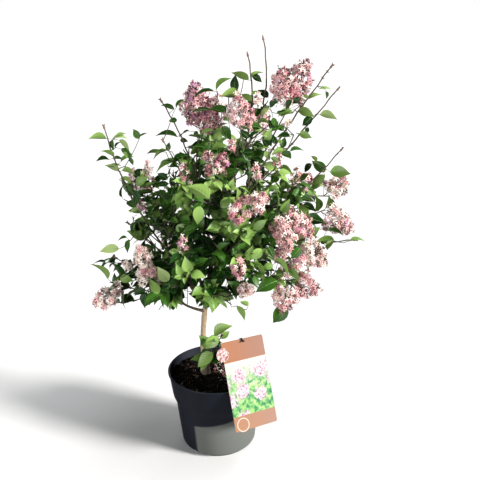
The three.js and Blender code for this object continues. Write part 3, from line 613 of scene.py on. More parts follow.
class FinerGrowth(Growth):
    """Leaves of natural size, their stalks, and the sprays that grow from their axils."""

    def __init__(self, index, m):
        super().__init__(index, m, index + SEEDS["finer"])
        self.middles, self.blades, self.stalks, self.sprays = [], [], [], []
        self.shoot = m["name"].startswith("shoot")
        self.crown = m["name"] != "basal_shoot"

    def free(self, leaf):
        """True where a small leaf has room and stands in its own mass."""
        if self.middles:
            gaps = np.sqrt(((np.array(self.middles) - middle_of(leaf)) ** 2).sum(1))
            if (gaps < SPRAY_LEAF["spacing"] * leaf["length"]).any():
                return False
        places = leaf_places(leaf)
        return (not self.in_head(places, HEAD["overlap"]) and in_box(places)
                and not in_the_open(places[[0, 6, 7]], self.crown) and fits(self.index, places))

    def add_blade(self, root, leaf, tint):
        self.middles.append(middle_of(leaf))
        base = leaf["base"] + leaf["shift"]
        slim = (0.86 + 0.28 * self.draw()) * (0.86 if self.shoot else 1)
        self.blades.append({**leaf, "base": base, "tint": tint, "kind": int(3 * self.draw()), "slim": slim})
        self.stalks.append((root + leaf["shift"], base))

    def try_leaf(self, place, axis, out, size, angle, shift, tint):
        """A small leaf, at the first of some angles and sizes that has room."""
        seed = 1e6 * self.draw()
        for share, turn in SPRAY_TRIES:
            small = place_leaf(place, axis, turned(out, axis, turn), size * share, seeded(seed), angle)
            small = {**on_stalk(place, small, small["length"]), "shift": shift}
            if self.free(small):
                self.add_blade(place, small, tint)
                return

    def add_natural_leaf(self, big):
        """A leaf of the coarse growth at natural size. Returns its green, or None for one in the open."""
        root, tint = big["base"], tint_of(middle_of(big), self.draw)
        share = BLADE["shoot_share"] if self.shoot else BLADE["share"] + BLADE["spread"] * (self.draw() - 0.3)
        leaf = on_stalk(root, big, min(share * big["length"], BLADE["longest"]))
        near_tip = root + leaf["direction"] * leaf["length"] * 0.9
        if in_the_open(np.array((root, near_tip)), self.crown):
            return None
        self.add_blade(root, leaf, tint)
        return tint

    def add_spray(self, big, tint):
        """A short twig with pairs of small leaves, from the axil of a leaf."""
        root = big["base"]
        heading = unit(big["axis"] * 0.62 + big["direction"] * 0.8 + np.array((0, 0, 0.1)))
        reach = big["length"] * (SPRAY["reach"] + SPRAY["spread"] * self.draw())
        for part in SPRAY["parts"]:
            ends = np.array([root + heading * (reach * part * share) for share in (0.5, 1)])
            if (not self.in_head(ends) and in_box(ends) and not in_the_open(ends, self.crown)
                    and fits(self.index, ends)):
                break
        else:
            return
        reach *= part
        self.sprays.append((root + big["shift"], root + heading * reach + big["shift"]))
        nodes = max(1, round(reach / SPRAY["node"]))
        first = unit(big["side"] - heading * (big["side"] @ heading))
        second = unit(cross(big["side"], heading))
        for node in range(1, nodes + 1):
            out = first if node % 2 else second
            place = root + heading * (reach * node / nodes)
            angle = SPRAY_LEAF["angle"] - (SPRAY_LEAF["last"] if node == nodes else 0)
            for way in (1, -1):
                size = big["length"] * (SPRAY_LEAF["share"] + swing(self.draw, SPRAY_LEAF["spread"]))
                self.try_leaf(place, heading, out * way, size, angle, big["shift"], tint)

    def add_pair(self, t, turn):
        """Two leaves on the stem, between two nodes."""
        m = self.m
        place, axis = on_chain(m["knots"], t), chain_heading(m["knots"], t)
        out, tint = sideways(axis, turn), tint_of(place, self.draw)
        share = BETWEEN["shoot_share"] if self.shoot else BETWEEN["share"]
        for way in (1, -1):
            size = LEAF["length"] * m["leaf_size"] * (1.16 - 0.36 * t) * share * (0.9 + 0.2 * self.draw())
            self.try_leaf(place, axis, out * way, size, LEAF_ANGLE - 20 * t, m["curve"](t) - place, tint)

    def grow(self, coarse):
        natural = [(big, self.add_natural_leaf(big)) for big in coarse.leaves]
        if not self.crown:
            return
        chance = SPRAY["shoot_chance"] if self.shoot else SPRAY["chance"]
        for big, tint in natural:
            if tint is not None and self.draw() <= chance:
                self.add_spray(big, tint)
        for t, turn in coarse.between:
            self.add_pair(t, turn)


class BoughGrowth:
    """Short leafy shoots along the trunk and boughs, inside the crown."""

    def __init__(self):
        self.draw = seeded(SEEDS["boughs"])
        self.middles, self.blades, self.stalks, self.sprays = [], [], [], []

    def add_leaf(self, place, heading, out, angle, tint):
        size = BOUGH_SPRAY["leaf"] * (0.7 + 0.6 * self.draw())
        leaf = on_stalk(place, place_leaf(place, heading, out, size, self.draw, angle), size)
        places = leaf_places(leaf)
        middle = places[6]
        crowded = any(length_of(other - middle) < BOUGH_SPRAY["spacing"] * size for other in self.middles)
        if crowded or in_the_open(places) or (LIMB_LINES.distances(places) < BOUGH_SPRAY["leaf_clear"]).any():
            return
        self.middles.append(middle)
        self.blades.append({**leaf, "tint": tint, "kind": int(3 * self.draw()),
                            "slim": 0.86 + 0.28 * self.draw()})
        self.stalks.append((place, leaf["base"]))

    def add_spray(self, root, axis, turn):
        out = sideways(axis, turn)
        heading = unit(out + axis * 0.55 + np.array((0, 0, 0.25)))
        length = BOUGH_SPRAY["reach"] * (0.5 + 0.8 * self.draw())
        end = root + heading * length
        if (LIMB_LINES.distances(np.array([end])) < BOUGH_SPRAY["tip_clear"]).any() or in_the_open(end[None]):
            return
        self.sprays.append((root, end))
        # Painted shade: a spray on a bough, inside the crown, takes a darker green.
        tint = max(0, tint_of(end, self.draw) - 1)
        across, steep = square_to(heading)
        pairs = max(1, int(length / BOUGH_SPRAY["node"]))
        for pair in range(1, pairs + 1):
            place = root + heading * (length * pair / pairs)
            side = across if pair % 2 else steep
            angle = BOUGH_SPRAY["angle"] if pair < pairs else BOUGH_SPRAY["last_angle"]
            for way in (1, -1):
                self.add_leaf(place, heading, side * way, angle, tint)

    def grow(self):
        for curve, _ in LIMBS.values():
            reach = length_of(curve(1) - curve(0))
            for k in range(int(reach * (1 - BOUGH_SPRAY["from"]) / BOUGH_SPRAY["gap"]) + 1):
                t = min(BOUGH_SPRAY["from"] + (k + 0.6 * self.draw()) * BOUGH_SPRAY["gap"] / reach, 1)
                self.add_spray(curve(t), tangent(curve, t), GOLDEN_TURN * k + 2 * math.pi * self.draw())


def shortened(twig):
    """The twig, no longer than it stays out of the openings."""
    share = 1.0
    while share > 0.2 and in_the_open((twig["base"] + twig["direction"] * (twig["length"] * share))[None]):
        share -= 0.1
    return {**twig, "length": twig["length"] * share}


on_boughs = BoughGrowth()
on_boughs.grow()
blades, stalks, sprays, twigs = on_boughs.blades, on_boughs.stalks, on_boughs.sprays, []
for index, m in enumerate(MASSES):
    coarse, finer = CoarseGrowth(index, m), FinerGrowth(index, m)
    coarse.grow()
    finer.grow(coarse)
    twigs += [shortened(twig) for twig in coarse.twigs]
    blades += finer.blades
    stalks += finer.stalks
    sprays += finer.sprays

# ---- single leaves

VIEW = {"place": (49, -1166, 827), "down": 19.28, "roll": -1, "focal": 680, "side": 480}  # the main view
SEEN_SCALE = 1.84  # millimetres in one of its pixels, about the crown
SEEN_BLADE = 0.6  # a single leaf's width, of its length

# Single leaves that stand out against the sky or the shade. A group has its depth, which is its Y, and each
# leaf the pixels of its heel and its tip in the main view, its width in pixels, its green, from deep to
# bright, which paints the light and shade it stands in, and how far its tip lies behind its heel.
SINGLE_LEAVES = (("basal shoot", -40, (
    (214, 334.5, 231, 324.5, 9.5, 3, -6), (218, 335.5, 205, 349.5, 12.5, 3, -8),
    (213, 353, 196.5, 366.5, 11, 3, -8), (216, 340, 221, 347, 4, 2, -3), (206, 340, 198, 346, 4, 1, 6),
)), ("basal shoot, before it", -30, (
    (209, 350, 200, 353, 5.7, 0, 3),
)), ("far left shoot", 2, (
    (106, 138.5, 88, 137, 5, 3, -4), (114, 157, 101, 148, 4.5, 3, -6), (119, 171.5, 105, 163, 5, 4, -4),
    (109, 160, 96, 160, 2.5, 0, 6), (112, 139, 127, 135, 5, 4, -6), (119, 140, 131, 150, 5, 4, -8),
    (115, 148, 121, 141, 3, 1, 4), (132, 157, 123, 152, 6, 2, -4), (129, 158, 134, 165, 4, 1, -2),
    (113, 159, 124, 159, 4, 1, 6), (139, 139, 133, 129, 6.5, 1, 3), (139, 137, 148, 131.5, 3, 1, 5),
    (122, 171, 136, 173, 5, 3, -6), (134, 172, 147, 173, 8, 0, 3),
)), ("top left shoot", 22, (
    (174, 109, 161.5, 103.5, 3, 1, 4), (177, 120, 168.5, 121, 6, 1, -3), (177.5, 137, 157, 131, 3.2, 1, 6),
    (179, 137, 187, 131, 2.2, 0, 5), (180, 140, 188, 141, 5, 0, -3), (168, 151, 169, 142, 8, 1, 2),
    (162, 152, 147, 151.5, 2, 2, 6), (167, 150, 152, 157.5, 4, 3, -5), (178, 161, 154, 167.5, 7, 2, -8),
)), ("top inner shoot", 2, (
    (248.5, 80, 231.5, 70, 5, 3, -5), (250.5, 78, 263.5, 70.5, 4, 3, 4), (252, 76, 263, 81, 5, 0, -3),
    (235.5, 91.5, 234, 74, 7.5, 0, 2), (216, 90, 230, 76.5, 6, 2, -5), (240, 95, 219, 93, 7, 3, -6),
    (252, 101, 241, 92.5, 5, 3, -4), (251, 96, 261, 91, 4, 3, 3),
)), ("top shoot", 24, (
    (268, 97, 258, 89, 6, 0, 3), (270, 106, 259.5, 117, 4.5, 3, -5), (270, 106, 278, 99, 5, 0, 4),
)), ("top right shoots", -10, (
    (308, 99, 320, 92, 5, 3, -4), (320, 89, 333, 88, 4, 3, 3), (326, 91, 327, 99, 2.5, 1, 0),
    (320, 114.5, 338, 116.5, 5.5, 4, -6), (298, 110, 315, 115, 7, 3, -6), (312, 117, 302, 126, 9, 0, 3),
    (308, 127, 306, 134, 4, 0, 0), (299, 134, 312, 137, 6, 3, -5), (290, 151, 304, 149, 4.5, 1, 3),
)), ("right shoot", 20, (
    (330, 172, 350.5, 172.5, 10.5, 2, -6), (325, 172, 312, 160, 9, 1, 3), (316, 162, 311, 155, 3, 3, -3),
    (312, 164, 303, 172, 6, 0, 3), (325, 175, 310, 190, 8, 3, -8),
)), ("right", -30, (
    (306, 218, 325, 222, 11, 0, 4), (327, 231, 344, 232, 3.5, 1, 4), (334, 241, 314, 240, 8, 2, -4),
    (333, 241, 326, 250, 5, 4, -6), (350, 241, 365.5, 238.5, 4, 2, 2),
)), ("low left", -52, (
    (119, 249, 99, 250, 8.5, 4, -4), (108, 279, 92, 261, 6, 3, -6), (122, 278, 114, 260, 8, 0, 3),
    (129, 240, 126, 253, 6, 1, -3), (127, 238, 117, 240, 2.5, 1, 3), (120, 277, 133, 281, 8, 3, -5),
    (124, 291, 123, 310, 5, 2, -3), (148, 296, 149, 306, 7, 0, 0), (173, 304, 173, 311, 6, 0, 0),
)), ("low left front", -120, (
    (168, 281, 158, 268, 10, 4, -5), (153, 296, 151, 277, 10, 3, -5),
)), ("low middle", -60, (
    (207, 292, 212, 309, 12, 3, -5), (217, 297, 234, 298, 9, 3, -6), (219, 303, 228, 308, 4, 3, -3),
)), ("low front", -108, (
    (248, 306, 240, 300, 5, 3, -2), (237, 306, 246, 319, 6, 3, -3), (286, 305, 273, 323.5, 13, 1, -4),
)), ("middle front", -128, (
    (209, 199, 187, 182, 12, 3, -6), (200, 206, 197, 225, 14, 3, -6), (233, 222, 235, 241, 12, 2, -5),
)), ("between the upper right shoots", -34, (
    (261, 128, 248, 124.5, 6, 1, -3), (249, 138, 240, 130, 6, 0, 3), (250, 138, 260, 131, 4, 0, 4),
    (243, 139, 231, 144, 3, 2, -5), (261, 142, 250, 146, 3.5, 0, 3), (253, 152, 242, 153, 7.5, 0, 3),
    (266, 140, 271, 129, 8, 3, -6), (271, 129, 279, 121, 7, 1, 3), (290, 136.5, 276, 136, 3.6, 0, 5),
    (282, 148, 285, 137, 8, 0, 4), (286, 149, 271, 153, 6.5, 3, -6), (285, 151, 291, 159, 6, 1, -3),
    (258, 149, 268, 146, 4, 2, -4), (265, 151, 270, 160, 7.5, 3, -6), (265, 164, 279, 171, 10, 3, -7),
    (279, 168, 294, 172, 5, 2, -5), (262, 161, 252, 158, 4, 0, 3), (228, 163, 250, 161, 5.5, 1, -6),
    (291, 110, 277, 114, 5, 2, -5), (300, 98, 292, 104, 6, 0, 3), (268, 144, 262, 136, 6, 0, 3),
    (275, 144, 272, 134, 6, 0, 4), (308, 98, 304, 94, 3, 2, -3), (271, 130.5, 269, 118.5, 5, 0, 0),
    (283.5, 130.5, 276.5, 124, 4.9, 1, -2), (287, 114, 276.5, 112, 3.8, 0, -2),
    (270.5, 107.5, 277, 100, 4.7, 0, -2), (291.5, 99.5, 285, 109, 5.3, 0, -4),
    (269, 108, 258.8, 115.6, 5, 4, -4), (277.5, 111, 283, 116.6, 3.5, 1, -3),
    (292.5, 112, 281, 114.4, 4.5, 2, -4), (273, 117.5, 276, 127, 6, 1, -4),
    (259, 121, 270, 122.5, 3, 3, -4), (262.5, 131, 271, 137, 5.5, 3, -4),
    (280.6, 127.5, 269.6, 130.6, 4.5, 1, -4), (268.8, 137.5, 271, 147, 5, 0, -4),
    (259, 150, 267, 144, 4, 3, 4),
)), ("between top heads", -30, (
    (226, 112, 219, 104, 5, 1, -3), (231, 118, 222, 120, 5, 2, -3),
)), ("before the top left head", -44, (
    (214, 91, 193, 93, 4.5, 0, -5), (211, 110, 190, 110, 6, 0, -5), (223, 112, 209, 107, 5, 1, -4),
    (222, 126, 231, 140, 10, 1, -6), (200, 134, 214, 128, 4.5, 3, -5), (176, 108, 184, 98.5, 3.5, 1, -3),
    (189, 131, 180, 134, 2.5, 0, 3), (206, 148, 192, 145, 4, 1, -4), (212, 150, 228, 145, 7, 2, -6),
)), ("far left shoot, inside", 2, (
    (113, 140, 112, 151, 5, 1, -3), (121, 149, 133, 158, 6, 1, -4), (121, 162, 133, 155, 4.5, 2, 3),
    (116, 137, 126, 132, 4, 3, 3), (109, 166, 122, 164, 3.5, 2, 4),
)), ("right of the middle heads", -60, (
    (301, 198, 314, 201, 5.5, 1, -5), (304, 205, 317, 210, 5.5, 0, -4), (299, 206, 309, 213, 6, 2, -5),
)), ("before the upper right mass", -68, (
    (283.5, 150, 271.5, 154.5, 5, 3, -4), (281.5, 153.5, 292.5, 156, 4.5, 1, -4),
    (268, 147, 262, 139, 4, 0, 3), (281.5, 144, 277, 138.5, 3, 3, -3), (263, 147, 255.5, 142.5, 3, 0, 3),
    (264, 162, 255.5, 160, 3, 0, 3), (271, 158, 279, 163, 4, 2, -3),
)), ("left, before the low bough", -45, (
    (131, 191, 142.5, 205.5, 7, 0, -4), (123, 176.5, 131, 182.5, 4, 3, 3), (133, 183, 124, 186.5, 3, 2, 3),
    (143, 186, 158, 184, 3.5, 2, -3), (139, 208.5, 128.5, 211.5, 4, 4, -3), (136, 222, 131, 234, 5, 0, -3),
)), ("before the fork", -66, (
    (214, 259, 203.5, 268, 5.5, 1, -4), (203, 278, 210, 266, 4.5, 0, 3), (216, 270, 208, 277, 4, 0, 3),
)), ("left", -40, (
    (136, 184, 147, 177, 8, 2, -5), (159, 182, 140, 187, 4, 1, -5), (168, 179, 157, 173, 7, 0, 3),
    (174, 160, 189, 153, 6, 0, 4), (140, 192, 133, 206, 7.5, 0, 3), (141, 213, 128, 210, 5.5, 2, -4),
    (146, 224, 131, 229, 8.5, 0, 3), (172, 205, 186, 202, 5, 1, -4), (188, 225, 186, 242, 7, 3, -6),
    (200, 233, 190, 240, 9, 0, 3), (176, 231, 185, 224, 7, 2, -4),
)), ("lower right", -134, (
    (262, 249, 251, 260, 9, 3, -5), (274, 259, 291, 272, 5, 3, -5), (288, 269, 300, 280, 6, 2, -4),
    (273, 265, 262, 268, 8, 2, -4), (254, 262, 267, 279, 4, 2, -5), (277, 281, 255, 291, 11, 1, -5),
    (249, 275, 258, 287, 8, 0, 3), (268, 247, 275, 258, 6, 1, -3), (300, 248, 291, 259, 8, 1, -4),
)))
# Thin twigs that carry some of them, each with its depth and its pixels in the main view.
SINGLE_TWIGS = (
    (2, ((125, 166), (131, 156), (135, 148), (139, 139))), (20, ((177, 161), (172, 152), (168, 151))),
    (20, ((169, 160), (166, 152))), (2, ((240, 97), (242, 88), (244, 79))),
    (-28, ((327, 248), (334, 241), (343, 243), (348, 241))), (-106, ((229, 298), (231, 307), (237, 306))),
)
DROOPING_TWIG = ((-58, -20, 304), (-75, -26, 308), (-90, -30, 309), (-97, -31, 305), (-102, -32, 297))
LONG_STALK = 9  # a single leaf's longest stalk; from farther away, a thin twig leads to it
FRONT = unit(np.array((0.0, -0.94, 0.34)))  # towards the main view


def view_axes():
    """The main view's right, up and ahead."""
    pitch, roll = math.radians(VIEW["down"]), math.radians(VIEW["roll"])
    level, upright = np.array((1.0, 0.0, 0.0)), np.array((0, math.sin(pitch), math.cos(pitch)))
    right = level * math.cos(roll) + upright * math.sin(roll)
    up = upright * math.cos(roll) - level * math.sin(roll)
    return right, up, np.array((0, math.cos(pitch), -math.sin(pitch)))


def in_view(x, y, depth):
    """The place with the Y `depth` that shows at a pixel of the main view, counted from the top left."""
    right, up, ahead = view_axes()
    half, place = VIEW["side"] / 2, np.array(VIEW["place"], float)
    ray = ahead + right * (x - half) / VIEW["focal"] + up * (half - y) / VIEW["focal"]
    return place + ray * (depth - place[1]) / ray[1]


def seen_leaf(depth, heel_x, heel_y, tip_x, tip_y, width, tint, behind):
    """A single leaf's heel and tip in whole millimetres, how far it turns edge-on, in degrees, its green."""
    heel, tip = in_view(heel_x, heel_y, depth), in_view(tip_x, tip_y, depth + behind)
    edge_on = math.degrees(math.acos(min(1, width * SEEN_SCALE / (SEEN_BLADE * length_of(tip - heel)))))
    return np.round(heel), np.round(tip), 5 * round(edge_on / 5), tint


def wood_places():
    """Places along all stems and twigs, for what is hung on the nearest."""
    places = [m["curve"](t) for m in MASSES for t in np.linspace(0, 1, 41)]
    places += [t["base"] + t["shift"] + t["direction"] * t["length"] * share
               for t in twigs for share in (0.3, 0.6, 0.9)]
    places += [a + (b - a) * share for a, b in sprays for share in (0.2, 0.6, 1)]
    return np.array(places)


def nearest(places, place):
    return places[np.argmin(((places - place) ** 2).sum(1))]


def bowed(base, end, sag, steps, radii):
    """A slightly bowed line between two points."""
    points = [base + (end - base) * s + np.array((0, 0, sag * 4 * s * (1 - s)))
              for s in np.linspace(0, 1, steps + 1)]
    return points, list(np.linspace(radii[0], radii[1], steps + 1))


def single_leaves():
    """The single leaves, each on a stalk from the nearest stem or twig, or from a thin twig of its own."""
    wood = wood_places()
    thin_twigs = [np.array(DROOPING_TWIG, float)]
    for depth, pixels in SINGLE_TWIGS:
        line = np.round([in_view(x, y, depth) for x, y in pixels])
        thin_twigs.append(np.vstack((nearest(wood, line[0]), line)))
    wood = np.vstack([wood] + thin_twigs)
    leaves = [seen_leaf(depth, *row) for _, depth, rows in SINGLE_LEAVES for row in rows]
    for k, (base, tip, edge_on, tint) in enumerate(leaves):
        direction, length = unit(tip - base), length_of(tip - base)
        side = unit(cross(direction, FRONT))
        leftwards = cross(side, direction) @ FRONT > 0 and side[0] > 0
        side = turned(side, direction, -edge_on if leftwards else edge_on)
        face = cross(side, direction)
        if face[2] < 0 and edge_on:
            side, face = -side, -face
        root = nearest(wood, base)
        if length_of(base - root) > LONG_STALK * 1.5:
            knee = base - unit(direction + unit(base - root)) * LONG_STALK
            line = np.array(bowed(root, knee, -0.05 * length_of(knee - root), 4, (1, 1))[0])
            thin_twigs.append(line)
            wood = np.vstack((wood, line[2:]))
            root = knee
        blades.append({"base": base, "direction": direction, "side": side, "face": face, "length": length,
                       "tint": tint, "kind": k % 3, "slim": 0.98})
        stalks.append((root, base))
    return thin_twigs


thin_twigs = single_leaves()

# ---- tools for modelling


def edit_select(obj, test, what="verts"):
    """Selects the vertices, edges or faces of the edited mesh whose middle passes the test."""
    bm = bmesh.from_edit_mesh(obj.data)
    for every in (bm.verts, bm.edges, bm.faces):
        for e in every:
            e.select = False
    for e in getattr(bm, what):
        middle = e.co if what == "verts" else sum((v.co for v in e.verts), Vector()) / len(e.verts)
        if test(middle):
            e.select_set(True)
    bmesh.update_edit_mesh(obj.data)


def select_all():
    bpy.ops.mesh.select_all(action="SELECT")


def resize(x, y, z, about=(0, 0, 0)):
    bpy.ops.transform.resize(value=(x, y, z), center_override=about)


def move(x, y, z):
    bpy.ops.transform.translate(value=(x, y, z))


def extrude(x, y, z):
    bpy.ops.mesh.extrude_region_move(TRANSFORM_OT_translate={"value": (x, y, z)})


def editing(obj, kind="VERT"):
    bpy.ops.object.mode_set(mode="EDIT")
    bpy.ops.mesh.select_mode(type=kind)
    return obj


def done(obj, name=None):
    bpy.ops.object.mode_set(mode="OBJECT")
    if name:
        obj.name = name
        obj.data.name = name
    return obj


def activate(obj):
    bpy.context.view_layer.objects.active = obj


def apply_modifier(obj, kind, **settings):
    modifier = obj.modifiers.new(kind.lower(), kind)
    for key, value in settings.items():
        setattr(modifier, key, value)
    activate(obj)
    bpy.ops.object.modifier_apply(modifier=modifier.name)


def settle(obj):
    """Puts the object's place into its mesh."""
    bpy.ops.object.select_all(action="DESELECT")
    obj.select_set(True)
    activate(obj)
    bpy.ops.object.transform_apply(location=True, rotation=True, scale=True)
    obj.select_set(False)
    return obj


def opened(kind="VERT"):
    """The pattern piece that was just added, with its place in its mesh, ready to be edited."""
    return editing(settle(bpy.context.object), kind)


def taken(obj):
    """A pattern piece's vertices and faces, when its editing is done. The pattern piece itself goes."""
    done(obj)
    corners = np.array([v.co for v in obj.data.vertices], float).reshape(-1, 3)
    faces = [tuple(p.vertices) for p in obj.data.polygons]
    bpy.data.objects.remove(obj)
    return corners, faces


def joined(name, parts, material, smooth=True, mapped=None):
    """One mesh out of copies: `parts` holds (corners, faces, axes, origins), with axes as columns, in
    millimetres. With `mapped`, every copy carries a map by that name: the X and Y of its pattern."""
    corners, loops, totals, spots, offset = [], [], [], [], 0
    for shape, faces, axes, origins in parts:
        count = len(origins)
        placed = np.einsum("nij,vj->nvi", axes, shape) + origins[:, None, :]
        corners.append(placed.reshape(-1, 3) * MM)
        flat = np.concatenate([np.array(f) for f in faces])
        sizes = np.array([len(f) for f in faces])
        steps = offset + len(shape) * np.arange(count)
        loops.append((steps[:, None] + flat).ravel())
        totals.append(np.tile(sizes, count))
        spots.append(np.tile(shape[flat, :2], (count, 1)))
        offset += count * len(shape)
    corners, loops, totals = (np.concatenate(x) for x in (corners, loops, totals))
    starts = np.r_[0, np.cumsum(totals)[:-1]]
    mesh = bpy.data.meshes.new(name)
    mesh.vertices.add(len(corners))
    mesh.vertices.foreach_set("co", corners.ravel())
    mesh.loops.add(len(loops))
    mesh.loops.foreach_set("vertex_index", loops.astype(np.int32))
    mesh.polygons.add(len(totals))
    mesh.polygons.foreach_set("loop_start", starts.astype(np.int32))
    mesh.polygons.foreach_set("use_smooth", np.full(len(totals), smooth))
    if mapped:
        places = np.concatenate(spots).ravel().astype(np.float32)
        mesh.uv_layers.new(name=mapped).data.foreach_set("uv", places)
    mesh.update(calc_edges=True)
    mesh.validate()
    obj = added(name, mesh)
    mesh.materials.append(material)
    return obj


def copies(pattern, frames):
    """A pattern and the frames of its copies, each with axes and an origin, the way `joined` takes them."""
    axes, origins = zip(*frames)
    return (*pattern, np.array(axes), np.array(origins))


def added(name, data):
    obj = bpy.data.objects.new(name, data)
    bpy.context.scene.collection.objects.link(obj)
    return obj


def ready(obj, slot, *nodes):
    """Hangs a finished piece on the body, and hides the parts of the solids that it stands for."""
    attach(obj, "root")
    if nodes:
        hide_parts(*nodes)


# ---- materials


def shader_input(material, name):
    return material.node_tree.nodes["Principled BSDF"].inputs[name]


def principled(name, colour, roughness, **more):
    material = bpy.data.materials.new(name)
    material.use_nodes = True
    for key, value in {"Base_Color": (*colour, 1), "Roughness": roughness, **more}.items():
        shader_input(material, key.replace("_", " ")).default_value = value
    return material


def node(tree, kind, inputs=None, **settings):
    made = tree.nodes.new(kind)
    for key, value in settings.items():
        setattr(made, key, value)
    for key, value in (inputs or {}).items():
        if isinstance(value, bpy.types.NodeSocket):
            tree.links.new(value, made.inputs[key])
        else:
            made.inputs[key].default_value = value
    return made


def drive(material, name, value):
    """Links a value to an input of the material's shader."""
    material.node_tree.links.new(value, shader_input(material, name))


def own_place(tree):
    return node(tree, "ShaderNodeTexCoord").outputs["Object"]


def separate(tree, vector):
    return node(tree, "ShaderNodeSeparateXYZ", {0: vector}).outputs


def maths(tree, operation, a, b=0.0, c=0.0):
    return node(tree, "ShaderNodeMath", {0: a, 1: b, 2: c}, operation=operation).outputs[0]


def mixed(tree, factor, a, b):
    made = node(tree, "ShaderNodeMix", data_type="RGBA")
    for socket, value in (("Factor_Float", factor), ("A_Color", a), ("B_Color", b)):
        target = next(s for s in made.inputs if s.identifier == socket)
        if isinstance(value, bpy.types.NodeSocket):
            tree.links.new(value, target)
        else:
            target.default_value = value if isinstance(value, float) else (*value[:3], 1)
    return next(s for s in made.outputs if s.identifier == "Result_Color")


def noise_of(tree, vector, scale, detail=3.0, roughness=0.55):
    return node(tree, "ShaderNodeTexNoise", {"Vector": vector, "Scale": scale, "Detail": detail,
                                             "Roughness": roughness}).outputs["Fac"]


def stepped(tree, value, low, high):
    """0 below low, 1 above high, smooth between."""
    return node(tree, "ShaderNodeMapRange", {"Value": value, "From Min": low, "From Max": high},
                interpolation_type="SMOOTHSTEP").outputs[0]


def mottle_group():
    """Two colours in patches, with a fine grain in the height."""
    group = bpy.data.node_groups.new("mottle", "ShaderNodeTree")
    for name, kind in (("Vector", "Vector"), ("Light", "Color"), ("Dark", "Color"), ("Patch Scale", "Float"),
                       ("Grain Scale", "Float"), ("Contrast", "Float")):
        group.interface.new_socket(name, in_out="INPUT", socket_type="NodeSocket" + kind)
    for name, kind in (("Colour", "Color"), ("Height", "Float")):
        group.interface.new_socket(name, in_out="OUTPUT", socket_type="NodeSocket" + kind)
    given = group.nodes.new("NodeGroupInput").outputs
    patches = noise_of(group, given["Vector"], given["Patch Scale"], 4.0, 0.6)
    grain = noise_of(group, given["Vector"], given["Grain Scale"], 3.0, 0.65)
    both = maths(group, "MULTIPLY_ADD", grain, 0.4, maths(group, "MULTIPLY", patches, 0.6))
    mask = maths(group, "MULTIPLY_ADD", maths(group, "SUBTRACT", both, 0.5), given["Contrast"], 0.5)
    mask = maths(group, "MINIMUM", maths(group, "MAXIMUM", mask, 0.0), 1.0)
    colour = mixed(group, mask, given["Dark"], given["Light"])
    out = group.nodes.new("NodeGroupOutput").inputs
    group.links.new(colour, out["Colour"])
    group.links.new(both, out["Height"])
    return group


MOTTLE = mottle_group()


def mottled(name, light, dark, patch, grain, contrast, roughness, bump, stretch=(1, 1, 1), depth=0.0004,
            **more):
    """A material in patches of two colours, with grain; `stretch` squeezes the pattern along an axis."""
    material = principled(name, light, roughness, **more)
    tree = material.node_tree
    where = node(tree, "ShaderNodeMapping", {"Vector": own_place(tree), "Scale": stretch}).outputs[0]
    effect = node(tree, "ShaderNodeGroup", node_tree=MOTTLE)
    tree.links.new(where, effect.inputs["Vector"])
    for key, value in (("Light", (*light, 1)), ("Dark", (*dark, 1)), ("Patch Scale", patch),
                       ("Grain Scale", grain), ("Contrast", contrast)):
        effect.inputs[key].default_value = value
    drive(material, "Base Color", effect.outputs["Colour"])
    if bump:
        drive(material, "Normal", node(tree, "ShaderNodeBump", {
            "Strength": bump, "Distance": depth, "Height": effect.outputs["Height"]}).outputs[0])
    return material


# Lit and shaded copies of one leaf green, from deep to bright: painted light and shade, dealt out by spray.
LEAF_GREENS = [principled(name, colour, rough, Specular_IOR_Level=shine) for name, colour, rough, shine in (
    ("leaf_deep", (0.007, 0.040, 0.003), 0.42, 0.2),
    ("leaf_dark", (0.031, 0.100, 0.008), 0.40, 0.3),
    ("leaf_mid", (0.128, 0.232, 0.044), 0.40, 0.42),
    ("leaf_fresh", (0.205, 0.332, 0.075), 0.40, 0.5),
    ("leaf_bright", (0.350, 0.465, 0.170), 0.42, 0.5),
)]
VEINS = {"count": 7, "slant": 0.9, "strength": 0.35, "depth": 0.0006}


def veined(material):
    """Side veins in relief, by the blade's own map: creases from the midrib forward to the margin."""
    tree = material.node_tree
    where = node(tree, "ShaderNodeUVMap", uv_map="blade").outputs[0]
    across, along = separate(tree, where)[:2]
    slant = maths(tree, "MULTIPLY_ADD", maths(tree, "ABSOLUTE", across), -VEINS["slant"], along)
    wave = maths(tree, "SINE", maths(tree, "MULTIPLY", slant, math.pi * VEINS["count"]))
    drive(material, "Normal", node(tree, "ShaderNodeBump", {
        "Strength": VEINS["strength"], "Distance": VEINS["depth"],
        "Height": maths(tree, "ABSOLUTE", wave)}).outputs[0])


for green in LEAF_GREENS:
    veined(green)
RIB = principled("leaf_rib", (0.20, 0.33, 0.09), 0.5)
STALK = principled("leaf_stalk", (0.10, 0.12, 0.04), 0.55)
PETALS = {name: principled(name, colour, 0.6) for name, colour in (
    ("petal_pink", (0.64, 0.345, 0.34)),
    ("petal_pale", (0.85, 0.735, 0.65)),
    ("petal_rose", (0.48, 0.175, 0.205)),
    ("petal_mauve", (0.42, 0.195, 0.32)),
    ("bud_dark", (0.072, 0.028, 0.032)),
)}
BUD, MAIN_PETALS = "bud_dark", ("petal_pink", "petal_pale", "petal_rose")
# bud_dark stands for closed buds, and its shares are raised to paint the shade in the gaps between florets.
TONES = {  # shares of petal_pink, petal_pale, petal_rose, petal_mauve and bud_dark
    "pink": (0.39, 0.23, 0.17, 0.04, 0.17),
    "light": (0.47, 0.38, 0.07, 0.02, 0.06),
    "pale": (0.28, 0.52, 0.06, 0.03, 0.11),
    # The white tone is paler to paint sunlight on heads that lie in the crown's shade.
    "white": (0.27, 0.67, 0.02, 0.02, 0.02),
    "rose": (0.38, 0.15, 0.20, 0.09, 0.18),
    "purple": (0.32, 0.08, 0.16, 0.27, 0.17),
    "mauve": (0.17, 0.19, 0.17, 0.15, 0.32),
}
TIP_BUDS = {"rose": 0.8, "mauve": 0.6, "purple": 0.45}  # share of closed buds at a head's very tip
